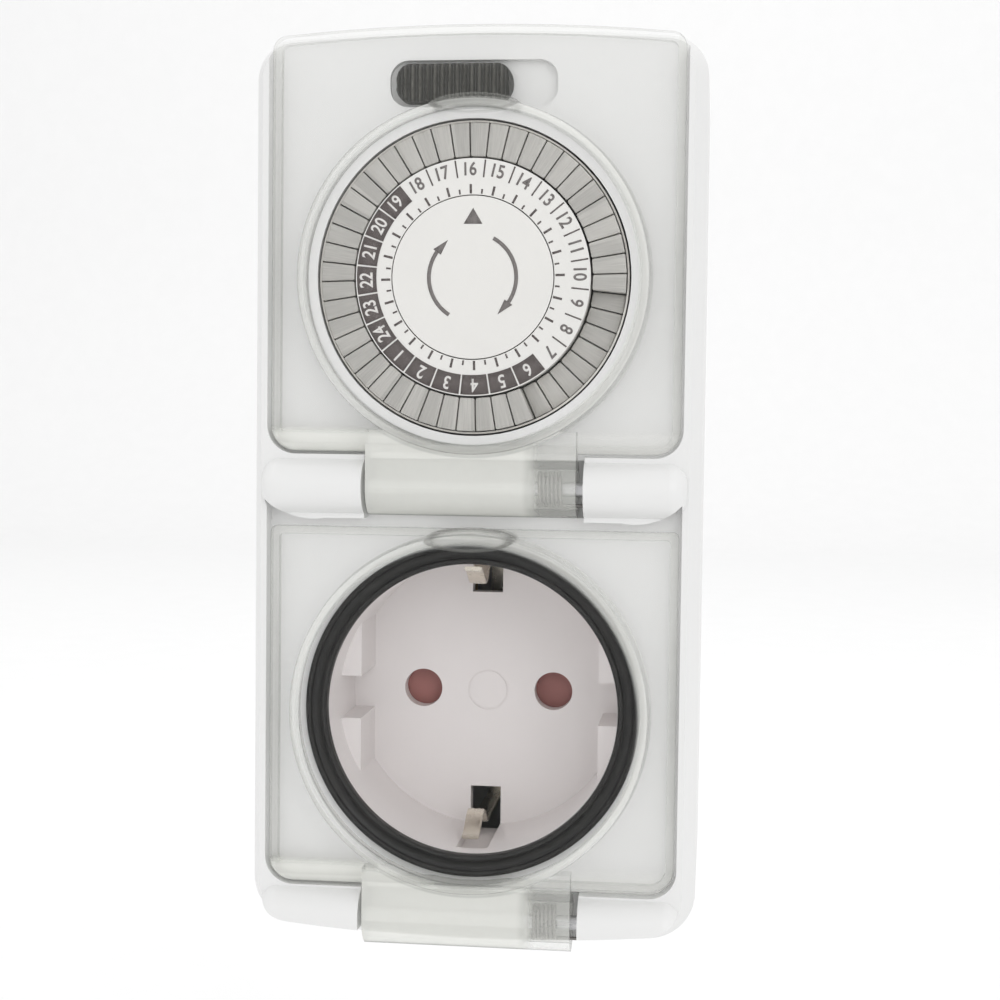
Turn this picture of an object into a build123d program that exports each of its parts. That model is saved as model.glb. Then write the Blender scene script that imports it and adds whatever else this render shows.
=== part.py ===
"""Outdoor plug-in 24 hour timer: sprung clear lids over a tappet dial and an earthed socket.

Row frame: +Z up, the front faces -Y, +X to the right seen from the front. The origin is the
middle of the plug face, between the two plug pins. Sizes are millimetres. A "depth" is measured
backwards from the plane of the socket's mouth, so what stands in front of it has a negative depth.
"""

import math
import os

from build123d import *

# ---------------------------------------------------------------- main layout
PLUG_LENGTH = 18.0
BODY_DEPTH = 40.0
MOUTH_Y = -(PLUG_LENGTH + BODY_DEPTH)
DIAL_Z = 0.0
SOCKET_Z = -58.0
PARTING = 20.0
WALL = 2.0

# housing outline, seen from the front
HALF_WIDTH = 30.5
TOP_Z = 33.3
BOTTOM_Z = -90.0
TOP_CROWN = 1.3
BOTTOM_CROWN = 1.8
TOP_CORNER = 5.5
BOTTOM_CORNER = 6.5
FACE_INSET = 1.7
RAIL_FRONT = -2.6
SIDE_START = 1.5
BACK_ROUND = 2.5
GROOVE_OUT = 0.5
GROOVE_IN = 1.5
GROOVE_DEPTH = 0.8

# lids
LID_HALF_WIDTH = 27.6
LID_BACK = -1.6
LID_FRONT = -2.8
LID_SKIRT_END = -0.3
LID_SKIRT = 1.1
LID_GAP = 0.4
LID_CORNER = 3.4
LID_ROUND = 1.0
LID_CROWN = 1.4
LIP_FRONT = -4.6
DIAL_LID_BOTTOM = -23.2
DIAL_LID_TOP = 33.5
SOCKET_LID_BOTTOM = -82.0
SOCKET_LID_TOP = -33.4
DOME_WALL = 1.1
DOME_FRONT = -7.0
DIAL_DOME_R = 23.7
SOCKET_DOME_R = 24.4
DOME_DRAFT = 0.6
DOME_ROUND = 1.4
PAD_RISE = 3.0
LIP_HALF_WIDTH = 6.3
LIP_REACH = 1.9
LIP_INSET = 1.4
LIP_ROUND = 0.3

# hinges
HINGE_DEPTH = -1.5
HINGE_R = 3.8
DIAL_HINGE_Z = -27.9
SOCKET_HINGE_Z = -86.3
BRIDGE_BOTTOM = -32.2
BRIDGE_RISE = 2.5
BRIDGE_SWEEP = 8.0
KNUCKLE_END = 2.4
TONGUE_LEFT = -14.0
TONGUE_RIGHT = 14.04
KNUCKLE_LEFT = -14.6
KNUCKLE_RIGHT = 15.0
HINGE_PIN_R = 1.0
HINGE_PIN_END = 22.0
RUNNING = 0.06
TROUGH_GAP = 0.35
TROUGH_WALL = 1.2
NOTCH_HALF = 5.0
BRIDGE_HEIGHT = 12.0
SPRING_LEFT = 8.4
SPRING_RIGHT = 12.3
SPRING_R = 2.4
SPRING_WIRE = 0.5
SPRING_LEG_R = 0.2
SPRING_LEG_OFFSET = 2.13
SPRING_ROOM = 2.75
SPRING_POCKET_LEFT = 7.6

# dial
DIAL_FACE = -4.4
TAPPETS = 48
TAPPET_IN_R = 15.85
TAPPET_OUT_R = 20.35
TAPPET_GAP = 0.14
TAPPET_FACE = -4.2
TAPPET_HEAD = 2.5
TAPPET_TRAVEL = 2.1
STEM_IN_R = 16.6
STEM_OUT_R = 18.0
STEM_WIDTH = 1.1
STEM_END = 6.4
SLOT_CLEAR = 0.15
FIRST_PRESSED = 6
LAST_PRESSED = 9
DIAL_HOURS = 24
HOUR_AT_TOP = 16
TOP_HOUR_OFFSET = 1.7
COLLAR_IN_R = 20.9
COLLAR_OUT_R = 22.1
COLLAR_FRONT = -3.9
HOUR_RING_IN_R = 10.85
HOUR_RING_OUT_R = 15.6
RING_THICK = 1.0
POINTER_R = 10.7
AXLE_R = 3.0
AXLE_SPLIT = -2.2
AXLE_FOOT_R = 5.5
AXLE_FOOT = 8.0
HUB_R = 5.2
HUB_BACK = 7.6
HUB_FRONT = -1.8
WEB_GAP = 2.0
DISC_FRONT = 2.4
DISC_BACK = 5.0

# gear train
DIAL_TEETH = 96
DIAL_MODULE = 0.4
PINION_TEETH = 12
WHEEL_TEETH = 36
WHEEL_MODULE = 0.5
TRAIN_ANGLE = 225.0
PLATE_FRONT = 11.2
PLATE_BACK = 12.7
WHEEL_FRONT = 8.9
WHEEL_BACK = 10.4
ARBOR_R = 0.9
MOTOR_SHAFT_R = 0.8
MOTOR_R = 15.0
MOTOR_LENGTH = 13.0
PLATE_HALF = 27.4
PLATE_LOW = -21.5
PLATE_HIGH = 19.5
PLATE_TAB_HALF = 13.0
PLATE_TAB_TOP = 30.2
POSTS = ((-25.6, 2.0), (25.6, 2.0), (20.0, -18.0), (-20.0, 17.4))
POST_R = 1.6
LUG_X = 2.7
LUG_HALF = 0.7
LUG_FRONT = 7.9
LUG_REACH = 1.5

# override slider, lever and switch
SLIDER_Z = 26.1
SLOT_LEFT = -12.0
SLOT_RIGHT = 10.6
SLOT_HALF_HEIGHT = 3.1
SLOT_FLOOR = 1.2
SLOT_RIM = 0.9
STEM_WAY_LEFT = -7.0
STEM_WAY_RIGHT = 2.6
STEM_WAY_HALF = 0.9
KNOB_LEFT = -11.3
KNOB_RIGHT = 4.6
KNOB_HALF_HEIGHT = 2.6
KNOB_FRONT = -1.2
KNOB_RIBS = 15
RIB_HEIGHT = 0.7
RIB_GAP = 0.44
RIB_MARGIN = 0.4
STALK_LEFT = -6.4
STALK_RIGHT = -3.4
STALK_HALF = 0.7
STALK_BACK = 5.0
STALK_FRONT = 3.2
FOOT_LOW = 21.4
FOOT_HIGH = 23.2
FOOT_BACK = 8.95
FOOT_CHAMFER = 0.8
LEVER_Z = 28.0
LEVER_TIP_Z = 16.4
LEVER_HALF_WIDTH = 1.5
LEVER_FRONT = 8.9
LEVER_BACK = 10.3
LEVER_AXIS = 9.5
LEVER_EYE_R = 1.3
LEVER_PIN_R = 0.6
LEVER_PIN_HALF = 3.4
PLUNGER_HALF = 1.0
PLUNGER_CLEAR = 0.12
PLUNGER_END = 3.0
SWITCH_HALF = 8.0
SWITCH_LOW = 16.0
SWITCH_HIGH = 28.5
PLUNGER_Z = 21.0
SWITCH_BACK = 23.0

# socket
RECESS_R = 19.75
RECESS_DEPTH = 17.5
INSERT_R = 21.4
FLOOR_THICK = 2.5
PIN_SPACING = 19.0
PIN_HOLE_R = 2.75
SEAL_OUT_R = 22.8
SEAL_FRONT = -1.5
RIB_X = 16.7
RIB_START = 7.0
RIB_NOTCH = 3.0
RIB_HALF = 12.0
MARK_IN_R = 2.7
MARK_OUT_R = 2.95
MARK_DEPTH = 0.15
SEAL_LIP_IN = 0.8
SEAL_LIP_OUT = 0.9
SEAL_GROOVE = 0.35
EARTH_SLOT_FRONT = 2.5
EARTH_LEFT = -2.4
EARTH_RIGHT = 2.0
EARTH_SLOT_IN = 14.2
CLIP_LEFT = -1.9
CLIP_RIGHT = 0.5
CLIP_THICK = 0.6
CLIP_R = 18.4
CLIP_NECK_R = 16.0
CLIP_FRONT = 4.6
FORK_HALF = 3.1
LEAF_THICK = 0.6
LEAF_FRONT = 23.0
CONTACT_HALF = 2.5
SHUTTER_FRONT = 20.4
SHUTTER_BACK = 21.9
SHUTTER_HALF = 2.0
SHUTTER_END_R = 3.25
COIL_R = 0.75
COIL_IN_R = 0.45
COIL_LENGTH = 9.0
COIL_DROP = 6.6

# plug
PLUG_R = 18.6
PIN_R = 2.4
PIN_LENGTH = 19.0
PIN_TIP = 1.0
SHANK_R = 1.8
PLUG_ROUND = 1.2
PLUG_WALL = 3.0
PLUG_END = 4.0
PLUG_SEAL_IN = 0.5
PLUG_SEAL_OUT = 5.5
PLUG_SEAL_LIP = 4.4
SEAL_FLAT = 1.2
SEAL_LIP = 2.2
KEYWAY_X = 18.4
KEYWAY_DEPTH = 2.0
KEYWAY_HALF = 3.2
BLADE_HALF = 2.5
BLADE_THICK = 0.8
BLADE_INSET = 0.9
BLADE_CLEAR = 0.1
EARTH_HOLE_Z = 10.0
EARTH_HOLE_R = 2.5
EARTH_HOLE_DEPTH = 14.0
EARTH_HOLE_WALL = 1.5
STRIP_FRONT = 36.9
STRIP_BACK = 37.6
TAIL_FRONT = 33.4
TAIL_BACK = 34.1
TAIL_WIDTH = 2.6
TAIL_TOP = 18.4
TAIL_THICK = 0.8
FEED_LEFT = -12.0
FEED_RIGHT = -5.0
FEED_LEG = 2.4
FEED_TOP = 25.4
EARTH_FRONT = 35.4
EARTH_BACK = 36.2

# screws
SCREWS = ((-24.2, 26.0), (24.2, 26.0), (-24.2, -79.5), (24.2, -79.5))
SCREW_R = 1.25
SCREW_HEAD_R = 2.5
SCREW_FRONT = 9.0
SCREW_HOLE_FRONT = 8.0
SCREW_CLEAR = 0.3
HEAD_FRONT = 6.0
HEAD_BACK = 4.0
CROSS_DEPTH = 0.9
CROSS_LENGTH = 3.0
CROSS_WIDTH = 0.6
BOSS_R = 3.6
EPS = 0.01


# ---------------------------------------------------------------- helpers
def block(x0, x1, d0, d1, z0, z1):
    """Box between two corners, with its depths measured from the mouth plane."""
    place = Pos((x0 + x1) / 2, MOUTH_Y + (d0 + d1) / 2, (z0 + z1) / 2)
    return place * Box(x1 - x0, d1 - d0, z1 - z0)


def rod(x, z, radius, d0, d1):
    """Cylinder along Y from depth d0 to d1."""
    place = Pos(x, MOUTH_Y + (d0 + d1) / 2, z) * Rot(90, 0, 0)
    return place * Cylinder(radius, d1 - d0)


def cross_rod(radius, depth, z, x0, x1):
    """Cylinder along X at one depth and height."""
    return Pos((x0 + x1) / 2, MOUTH_Y + depth, z) * Rot(0, 90, 0) * Cylinder(radius, x1 - x0)


def ring(z, r_in, r_out, d0, d1, x=0.0):
    """Flat ring or tube about a line along Y."""
    return rod(x, z, r_out, d0, d1) - rod(x, z, r_in, d0 - 1, d1 + 1)


def front_plane(depth):
    """Drawing plane at a depth, seen from the front: local x is X and local y is Z."""
    return Plane(origin=(0, MOUTH_Y + depth, 0), x_dir=(1, 0, 0), z_dir=(0, -1, 0))


def prism(sketch, d0, d1):
    """Extrudes a front-view sketch from depth d0 back to d1."""
    return extrude(front_plane(d1) * sketch, amount=d1 - d0, dir=(0, -1, 0))


def side_prism(points, x0, x1):
    """Extrudes a polygon of (depth, z) points along X."""
    plane = Plane(origin=(x0, MOUTH_Y, 0), x_dir=(0, 1, 0), z_dir=(1, 0, 0))
    return extrude(plane * Polygon(*points, align=None), amount=x1 - x0, dir=(1, 0, 0))


def joined(shapes):
    """One compound of separate solids, for a node that is a group."""
    return Compound(children=[s for shape in shapes for s in shape.solids()])


def outline(inset):
    """Front-view outline of the housing: straight sides, crowned ends and round corners."""
    w = HALF_WIDTH - inset
    top = TOP_Z - inset
    low = BOTTOM_Z + inset
    edges = [
        Line((-w, low + BOTTOM_CROWN), (-w, top - TOP_CROWN)),
        ThreePointArc((-w, top - TOP_CROWN), (0, top), (w, top - TOP_CROWN)),
        Line((w, top - TOP_CROWN), (w, low + BOTTOM_CROWN)),
        ThreePointArc((w, low + BOTTOM_CROWN), (0, low), (-w, low + BOTTOM_CROWN)),
    ]
    face = make_face(edges)
    corners = face.vertices().sort_by(Axis.Y)
    face = fillet(corners[:2], BOTTOM_CORNER - inset)
    corners = face.vertices().sort_by(Axis.Y)
    return fillet(corners[-2:], TOP_CORNER - inset)


def rounded_plate(w, low, high, crown, low_corner, high_corner):
    """Front-view plate with round lower corners and an upper edge that may be crowned."""
    if crown:
        top_edge = ThreePointArc((-w, high - crown), (0, high), (w, high - crown))
    else:
        top_edge = Line((-w, high), (w, high))
    edges = [
        Line((-w, low), (-w, high - crown)),
        top_edge,
        Line((w, high - crown), (w, low)),
        Line((w, low), (-w, low)),
    ]
    face = make_face(edges)
    face = fillet(face.vertices().sort_by(Axis.Y)[:2], low_corner)
    return fillet(face.vertices().sort_by(Axis.Y)[-2:], high_corner)


def turned(shape, degrees, centre=(0.0, DIAL_Z)):
    """Turns a shape about a line along Y. Positive is anticlockwise seen from the front."""
    x, z = centre
    return Pos(x, 0, z) * Rot(0, -degrees, 0) * Pos(-x, 0, -z) * shape


def gear(teeth, module, d0, d1, phase, centre):
    """Spur gear with straight-sided teeth. A tooth points at the angle phase."""
    pitch = 360.0 / teeth
    radius = teeth * module / 2
    root_r = radius - 1.2 * module
    tip_r = radius + 0.8 * module
    points = []
    for n in range(teeth):
        middle = phase + n * pitch
        for r, share in ((root_r, -0.27), (tip_r, -0.1), (tip_r, 0.1), (root_r, 0.27)):
            angle = math.radians(middle + share * pitch)
            points.append((centre[0] + r * math.cos(angle), centre[1] + r * math.sin(angle)))
    return prism(Polygon(*points, align=None), d0, d1)


def train_centre():
    """Axis of the intermediate gear, as (x, z)."""
    reach = (DIAL_TEETH + PINION_TEETH) * DIAL_MODULE / 2
    angle = math.radians(TRAIN_ANGLE)
    return (reach * math.cos(angle), DIAL_Z + reach * math.sin(angle))


def motor_centre():
    """Axis of the motor pinion, as (x, z)."""
    x, z = train_centre()
    return (x + (WHEEL_TEETH + PINION_TEETH) * WHEEL_MODULE / 2, z)


# ---------------------------------------------------------------- housing
def tapered_front():
    """Front of the body: the sides lean in towards the face."""
    wide = front_plane(SIDE_START) * outline(0)
    narrow = front_plane(RAIL_FRONT) * outline(FACE_INSET)
    return loft([wide.face(), narrow.face()], ruled=True)


def knuckles(hinge_z, face):
    """The two fixed halves of a hinge with round outer ends, trimmed to a front-view face."""
    made = Part()
    out = HALF_WIDTH - FACE_INSET - 0.2
    left = cross_rod(HINGE_R, HINGE_DEPTH, hinge_z, -out, KNUCKLE_LEFT)
    made += fillet(left.faces().sort_by(Axis.X)[0].edges(), KNUCKLE_END)
    right = cross_rod(HINGE_R, HINGE_DEPTH, hinge_z, KNUCKLE_RIGHT, out)
    made += fillet(right.faces().sort_by(Axis.X)[-1].edges(), KNUCKLE_END)
    return made & prism(face, HINGE_DEPTH - HINGE_R - 1, WALL)


def dial_lid_room():
    """Outline of the recess that the dial lid shuts into, open at the top."""
    w = LID_HALF_WIDTH + LID_GAP
    return rounded_plate(w, DIAL_LID_BOTTOM - LID_GAP, TOP_Z + 5, 0, LID_CORNER + LID_GAP, 1.0)


def socket_lid_room():
    """Outline of the recess for the socket lid. Its upper corners sweep up beside the knuckles."""
    w = LID_HALF_WIDTH + LID_GAP
    low = SOCKET_LID_BOTTOM - LID_GAP
    high = BRIDGE_BOTTOM + BRIDGE_RISE
    run = w - BRIDGE_SWEEP
    bend = (w - 0.3 * BRIDGE_SWEEP, BRIDGE_BOTTOM + 0.3 * BRIDGE_RISE)
    edges = [
        Line((-w, low), (-w, high)),
        ThreePointArc((-w, high), (-bend[0], bend[1]), (-run, BRIDGE_BOTTOM)),
        Line((-run, BRIDGE_BOTTOM), (run, BRIDGE_BOTTOM)),
        ThreePointArc((run, BRIDGE_BOTTOM), bend, (w, high)),
        Line((w, high), (w, low)),
        Line((w, low), (-w, low)),
    ]
    face = make_face(edges)
    return fillet(face.vertices().sort_by(Axis.Y)[:2], LID_CORNER + LID_GAP)


def bridge():
    """Outline of the band between the two lids, which trims the upper knuckles."""
    w = HALF_WIDTH - FACE_INSET - 0.1
    return Pos(0, (DIAL_HINGE_Z + BRIDGE_BOTTOM) / 2) * Rectangle(2 * w, BRIDGE_HEIGHT) - socket_lid_room()


def hinge_trough(hinge_z, x0, x1, grow):
    """Room for a lid's barrel, larger than the barrel by grow."""
    return cross_rod(HINGE_R + grow, HINGE_DEPTH, hinge_z, x0, x1)


def slider_pocket_face(grow=0.0):
    """Front-view outline of the pocket that the knob slides in."""
    w = (SLOT_RIGHT - SLOT_LEFT) / 2 + grow
    h = SLOT_HALF_HEIGHT + grow
    face = RectangleRounded(2 * w, 2 * h, h - 0.6)
    return Pos((SLOT_LEFT + SLOT_RIGHT) / 2, SLIDER_Z) * face


def gasket_groove():
    """Room for the rubber cord between the shells."""
    outer = prism(outline(GROOVE_OUT), PARTING - GROOVE_DEPTH, PARTING)
    return outer - prism(outline(GROOVE_IN), PARTING - 2, PARTING + 1)


def hinge_cuts(hinge_z):
    """What a lid's barrel and pin take out of the shell at one hinge."""
    cuts = hinge_trough(hinge_z, KNUCKLE_LEFT, KNUCKLE_RIGHT, TROUGH_GAP)
    cuts += block(KNUCKLE_LEFT, KNUCKLE_RIGHT, -7, 0, hinge_z - NOTCH_HALF, hinge_z + NOTCH_HALF)
    return cuts + cross_rod(HINGE_PIN_R, HINGE_DEPTH, hinge_z, -HINGE_PIN_END, HINGE_PIN_END)


def trough_floor(hinge_z):
    """Inner wall behind a lid's barrel."""
    reach = TROUGH_GAP + TROUGH_WALL
    floor = hinge_trough(hinge_z, KNUCKLE_LEFT - 1, KNUCKLE_RIGHT + 1, reach)
    return floor & block(-20, 20, WALL, 10, BOTTOM_Z + WALL, TOP_Z)


def slider_pocket():
    """Pocket of the knob and the long hole for its stalk."""
    pocket = prism(slider_pocket_face(), -3, SLOT_FLOOR)
    low = SLIDER_Z - STEM_WAY_HALF
    return pocket + block(STEM_WAY_LEFT, STEM_WAY_RIGHT, 0, WALL + 2, low, SLIDER_Z + STEM_WAY_HALF)


def front_housing():
    """White front shell: deck, side rails, hinge knuckles, dial collar and slider pocket."""
    body = tapered_front() + prism(outline(0), SIDE_START, PARTING)
    for room in (dial_lid_room(), socket_lid_room()):
        body -= prism(room, RAIL_FRONT - 1, 0)
    body -= prism(outline(WALL), WALL, PARTING + 1)
    body += knuckles(DIAL_HINGE_Z, bridge())
    body += knuckles(SOCKET_HINGE_Z, outline(FACE_INSET + 0.15))
    body += ring(DIAL_Z, COLLAR_IN_R, COLLAR_OUT_R, COLLAR_FRONT, WALL / 2)
    for hinge_z in (DIAL_HINGE_Z, SOCKET_HINGE_Z):
        body += trough_floor(hinge_z)
        body -= hinge_cuts(hinge_z)
    body -= rod(0, DIAL_Z, COLLAR_IN_R, -9, WALL + 1)
    body -= rod(0, SOCKET_Z, INSERT_R, -3, WALL + 1)
    rim = prism(slider_pocket_face(SLOT_RIM), 0, SLOT_FLOOR + 1)
    body += rim - rod(0, DIAL_Z, COLLAR_IN_R, -3, 4)
    body -= slider_pocket()
    for x, z in SCREWS:
        body += rod(x, z, BOSS_R, WALL - EPS, PARTING)
        body -= rod(x, z, SCREW_R, SCREW_HOLE_FRONT, PARTING + 1)
    return body - gasket_groove()


def plug_body():
    """Round plug body with a rounded rim."""
    plug = rod(0, DIAL_Z, PLUG_R, BODY_DEPTH - EPS, BODY_DEPTH + PLUG_LENGTH)
    rim = plug.faces().sort_by(Axis.Y)[-1]
    return fillet(rim.edges(), PLUG_ROUND)


def plug_side_cuts(side):
    """Pin hole, keyway and earth blade slot on one side of the plug body."""
    far = BODY_DEPTH + PLUG_LENGTH
    cuts = rod(side * PIN_SPACING / 2, DIAL_Z, SHANK_R, BODY_DEPTH, far + 1)
    x = side * KEYWAY_X
    low = DIAL_Z - KEYWAY_HALF
    cuts += block(x - KEYWAY_DEPTH, x + KEYWAY_DEPTH, BODY_DEPTH + 1, far + 1, low, DIAL_Z + KEYWAY_HALF)
    w = BLADE_HALF + BLADE_CLEAR
    half = BLADE_INSET / 2
    z = DIAL_Z + side * (PLUG_R - half)
    return cuts + block(-w, w, EARTH_FRONT, far - 1, z - half, z + half)


def rear_housing():
    """White rear shell with the plug body moulded on behind the dial."""
    far = BODY_DEPTH + PLUG_LENGTH
    hole_front = far - EARTH_HOLE_DEPTH
    tube_r = EARTH_HOLE_R + EARTH_HOLE_WALL
    tube_z = DIAL_Z + EARTH_HOLE_Z
    shell = prism(outline(0), PARTING, BODY_DEPTH)
    back = shell.faces().sort_by(Axis.Y)[-1]
    shell = fillet(back.edges(), BACK_ROUND)
    shell -= prism(outline(WALL), PARTING - 1, BODY_DEPTH - WALL)
    shell += plug_body()
    shell -= rod(0, DIAL_Z, PLUG_R - PLUG_WALL, BODY_DEPTH - WALL - 1, far - PLUG_END)
    shell += rod(0, tube_z, tube_r, hole_front - EARTH_HOLE_WALL, far - PLUG_END + 1)
    shell -= rod(0, tube_z, EARTH_HOLE_R, hole_front, far + 1)
    for side in (-1, 1):
        shell -= plug_side_cuts(side)
    for x, z in SCREWS:
        shell += rod(x, z, BOSS_R, PARTING, BODY_DEPTH - WALL + EPS)
        shell -= rod(x, z, SCREW_R + SCREW_CLEAR, PARTING - 1, BODY_DEPTH)
        shell -= rod(x, z, SCREW_HEAD_R + SCREW_CLEAR, BODY_DEPTH - HEAD_FRONT, BODY_DEPTH + 1)
    return shell


def housing_gasket():
    """Rubber cord in the groove between the shells."""
    return gasket_groove()


def housing_screws():
    """Four screws that enter from the back."""
    screws = []
    for x, z in SCREWS:
        head = rod(x, z, SCREW_HEAD_R, BODY_DEPTH - HEAD_FRONT, BODY_DEPTH - HEAD_BACK)
        l = CROSS_LENGTH / 2
        w = CROSS_WIDTH / 2
        slot = block(x - l, x + l, BODY_DEPTH - HEAD_BACK - CROSS_DEPTH, BODY_DEPTH, z - w, z + w)
        for turn in (0, 90):
            head -= turned(slot, turn, (x, z))
        screws.append(head + rod(x, z, SCREW_R, SCREW_FRONT, BODY_DEPTH - HEAD_FRONT + EPS))
    return joined(screws)


def plug_seal():
    """Rubber ring that closes the timer against the wall socket, with a raised outer lip."""
    out = PLUG_R + PLUG_SEAL_OUT
    flat = ring(DIAL_Z, PLUG_R + PLUG_SEAL_IN, out, BODY_DEPTH, BODY_DEPTH + SEAL_FLAT)
    return flat + ring(DIAL_Z, PLUG_R + PLUG_SEAL_LIP, out, BODY_DEPTH + 1, BODY_DEPTH + SEAL_LIP)


# ---------------------------------------------------------------- lids
def dome(z, radius):
    """Drum that stands out of a lid's plate, as (outside, inside) solids."""
    base = front_plane(LID_FRONT + 0.2) * (Pos(0, z) * Circle(radius))
    rim = front_plane(DOME_FRONT) * (Pos(0, z) * Circle(radius - DOME_DRAFT))
    outside = loft([base.face(), rim.face()])
    outside = fillet(outside.faces().sort_by(Axis.Y)[0].edges(), DOME_ROUND)
    inner_r = radius - DOME_WALL + 0.1
    back = front_plane(LID_FRONT) * (Pos(0, z) * Circle(inner_r))
    front = front_plane(DOME_FRONT + DOME_WALL) * (Pos(0, z) * Circle(radius - DOME_DRAFT - DOME_WALL))
    inside = loft([back.face(), front.face()]) + rod(0, z, inner_r, LID_FRONT, 3)
    return outside, inside


def finger_lip(z, radius):
    """Lens-shaped lip at the top of a dome, for a fingertip."""
    lens = Ellipse(LIP_HALF_WIDTH, LIP_REACH)
    lip = prism(Pos(0, z + radius - LIP_INSET) * lens, LIP_FRONT, LID_FRONT + 0.2)
    return fillet(lip.faces().sort_by(Axis.Y)[0].edges(), LIP_ROUND)


def lid(plate, inner_plate, hinge_z, pad_top, dome_z, dome_r):
    """A sprung lid: plate, skirt, dome, finger lip, hinge pad and barrel."""
    shape = prism(plate, LID_FRONT, LID_SKIRT_END)
    front = shape.faces().sort_by(Axis.Y)[0]
    shape = fillet(front.edges(), LID_ROUND)
    shape -= prism(inner_plate, LID_BACK, 1)
    outside, inside = dome(dome_z, dome_r)
    shape += outside
    shape += finger_lip(dome_z, dome_r)
    pad = block(TONGUE_LEFT, TONGUE_RIGHT, HINGE_DEPTH - HINGE_R, LID_BACK, hinge_z, pad_top)
    pad += cross_rod(HINGE_R, HINGE_DEPTH, hinge_z, TONGUE_LEFT, TONGUE_RIGHT)
    shape += pad
    shape -= inside
    shape -= cross_rod(HINGE_PIN_R + RUNNING, HINGE_DEPTH, hinge_z, TONGUE_LEFT - 1, TONGUE_RIGHT + 1)
    shape -= cross_rod(SPRING_ROOM, HINGE_DEPTH, hinge_z, SPRING_POCKET_LEFT, TONGUE_RIGHT + 1)
    return shape


def dial_lid():
    """Clear lid over the dial. Its hinge is below the dial."""
    edge = LID_SKIRT
    w = LID_HALF_WIDTH
    low = DIAL_LID_BOTTOM
    high = DIAL_LID_TOP
    plate = rounded_plate(w, low, high, LID_CROWN, LID_CORNER, 2.0)
    inner = rounded_plate(w - edge, low + edge, high - edge, LID_CROWN, LID_CORNER - edge, 1.0)
    return lid(plate, inner, DIAL_HINGE_Z, DIAL_LID_BOTTOM + PAD_RISE, DIAL_Z, DIAL_DOME_R)


def socket_lid():
    """Clear lid over the socket. Its hinge is at the bottom edge of the timer."""
    edge = LID_SKIRT
    w = LID_HALF_WIDTH
    low = SOCKET_LID_BOTTOM
    high = SOCKET_LID_TOP
    plate = rounded_plate(w, low, high, 0, LID_CORNER, 0.8)
    inner = rounded_plate(w - edge, low + edge, high - edge, 0, LID_CORNER - edge, 0.5)
    return lid(plate, inner, SOCKET_HINGE_Z, SOCKET_LID_BOTTOM + PAD_RISE, SOCKET_Z, SOCKET_DOME_R)


def lid_hinge_pins():
    """Two steel pins, one through each lid's barrel."""
    pins = []
    for hinge_z in (DIAL_HINGE_Z, SOCKET_HINGE_Z):
        pins.append(cross_rod(HINGE_PIN_R, HINGE_DEPTH, hinge_z, -HINGE_PIN_END, HINGE_PIN_END))
    return joined(pins)


def lid_spring(hinge_z):
    """Torsion spring on a hinge pin: a wound sleeve and the leg that enters the fixed knuckle."""
    sleeve = cross_rod(SPRING_R, HINGE_DEPTH, hinge_z, SPRING_LEFT, SPRING_RIGHT)
    sleeve -= cross_rod(SPRING_R - SPRING_WIRE, HINGE_DEPTH, hinge_z, 0, 20)
    z = hinge_z + SPRING_LEG_OFFSET
    return sleeve + cross_rod(SPRING_LEG_R, HINGE_DEPTH, z, SPRING_RIGHT - 0.3, KNUCKLE_RIGHT - 0.05)


# ---------------------------------------------------------------- dial
def dial_wheel():
    """Toothed wheel that carries the tappets, turning on the dial axle."""
    wheel = gear(DIAL_TEETH, DIAL_MODULE, DISC_FRONT, DISC_BACK, 180.0 / DIAL_TEETH, (0, DIAL_Z))
    wheel += rod(0, DIAL_Z, HOUR_RING_OUT_R, DIAL_FACE + RING_THICK, DISC_FRONT + EPS)
    wheel -= ring(DIAL_Z, HUB_R, HOUR_RING_OUT_R - WEB_GAP, -4, DISC_FRONT)
    wheel -= rod(0, DIAL_Z, HUB_R + 0.2, -4, HUB_FRONT)
    wheel += rod(0, DIAL_Z, HUB_R, DISC_BACK - EPS, HUB_BACK)
    wheel -= rod(0, DIAL_Z, AXLE_R + RUNNING, -5, 9)
    half = STEM_WIDTH / 2 + SLOT_CLEAR
    slot = block(-half, half, 1, 6, STEM_IN_R - SLOT_CLEAR, STEM_OUT_R + SLOT_CLEAR)
    slots = [turned(slot, TOP_HOUR_OFFSET + (n + 0.5) * 360 / TAPPETS) for n in range(TAPPETS)]
    return wheel - slots


def hour_ring():
    """White ring that carries the hour numbers."""
    return ring(DIAL_Z, HOUR_RING_IN_R, HOUR_RING_OUT_R, DIAL_FACE, DIAL_FACE + RING_THICK)


def pointer_disc():
    """Fixed white centre disc with the time pointer, on the end of the dial axle."""
    disc = rod(0, DIAL_Z, POINTER_R, DIAL_FACE, DIAL_FACE + RING_THICK)
    return disc + rod(0, DIAL_Z, AXLE_R, DIAL_FACE + RING_THICK - EPS, AXLE_SPLIT)


def dial_axle():
    """Fixed post of the dial, on the mechanism plate."""
    post = rod(0, DIAL_Z, AXLE_R, AXLE_SPLIT, PLATE_FRONT)
    return post + rod(0, DIAL_Z, AXLE_FOOT_R, AXLE_FOOT, PLATE_FRONT)


def tappet():
    """One tappet at the top of the dial: a wedge head and a stem through the wheel."""
    half_angle = math.radians(180.0 / TAPPETS)
    low = TAPPET_IN_R
    high = TAPPET_OUT_R * math.cos(half_angle)
    low_w = low * math.tan(half_angle) - TAPPET_GAP / 2
    high_w = high * math.tan(half_angle) - TAPPET_GAP / 2
    head = Polygon((-low_w, low), (low_w, low), (high_w, high), (-high_w, high), align=None)
    solid = prism(head, TAPPET_FACE, TAPPET_FACE + TAPPET_HEAD)
    half = STEM_WIDTH / 2
    stem_top = TAPPET_FACE + TAPPET_HEAD - EPS
    return solid + block(-half, half, stem_top, STEM_END, STEM_IN_R, STEM_OUT_R)


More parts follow.
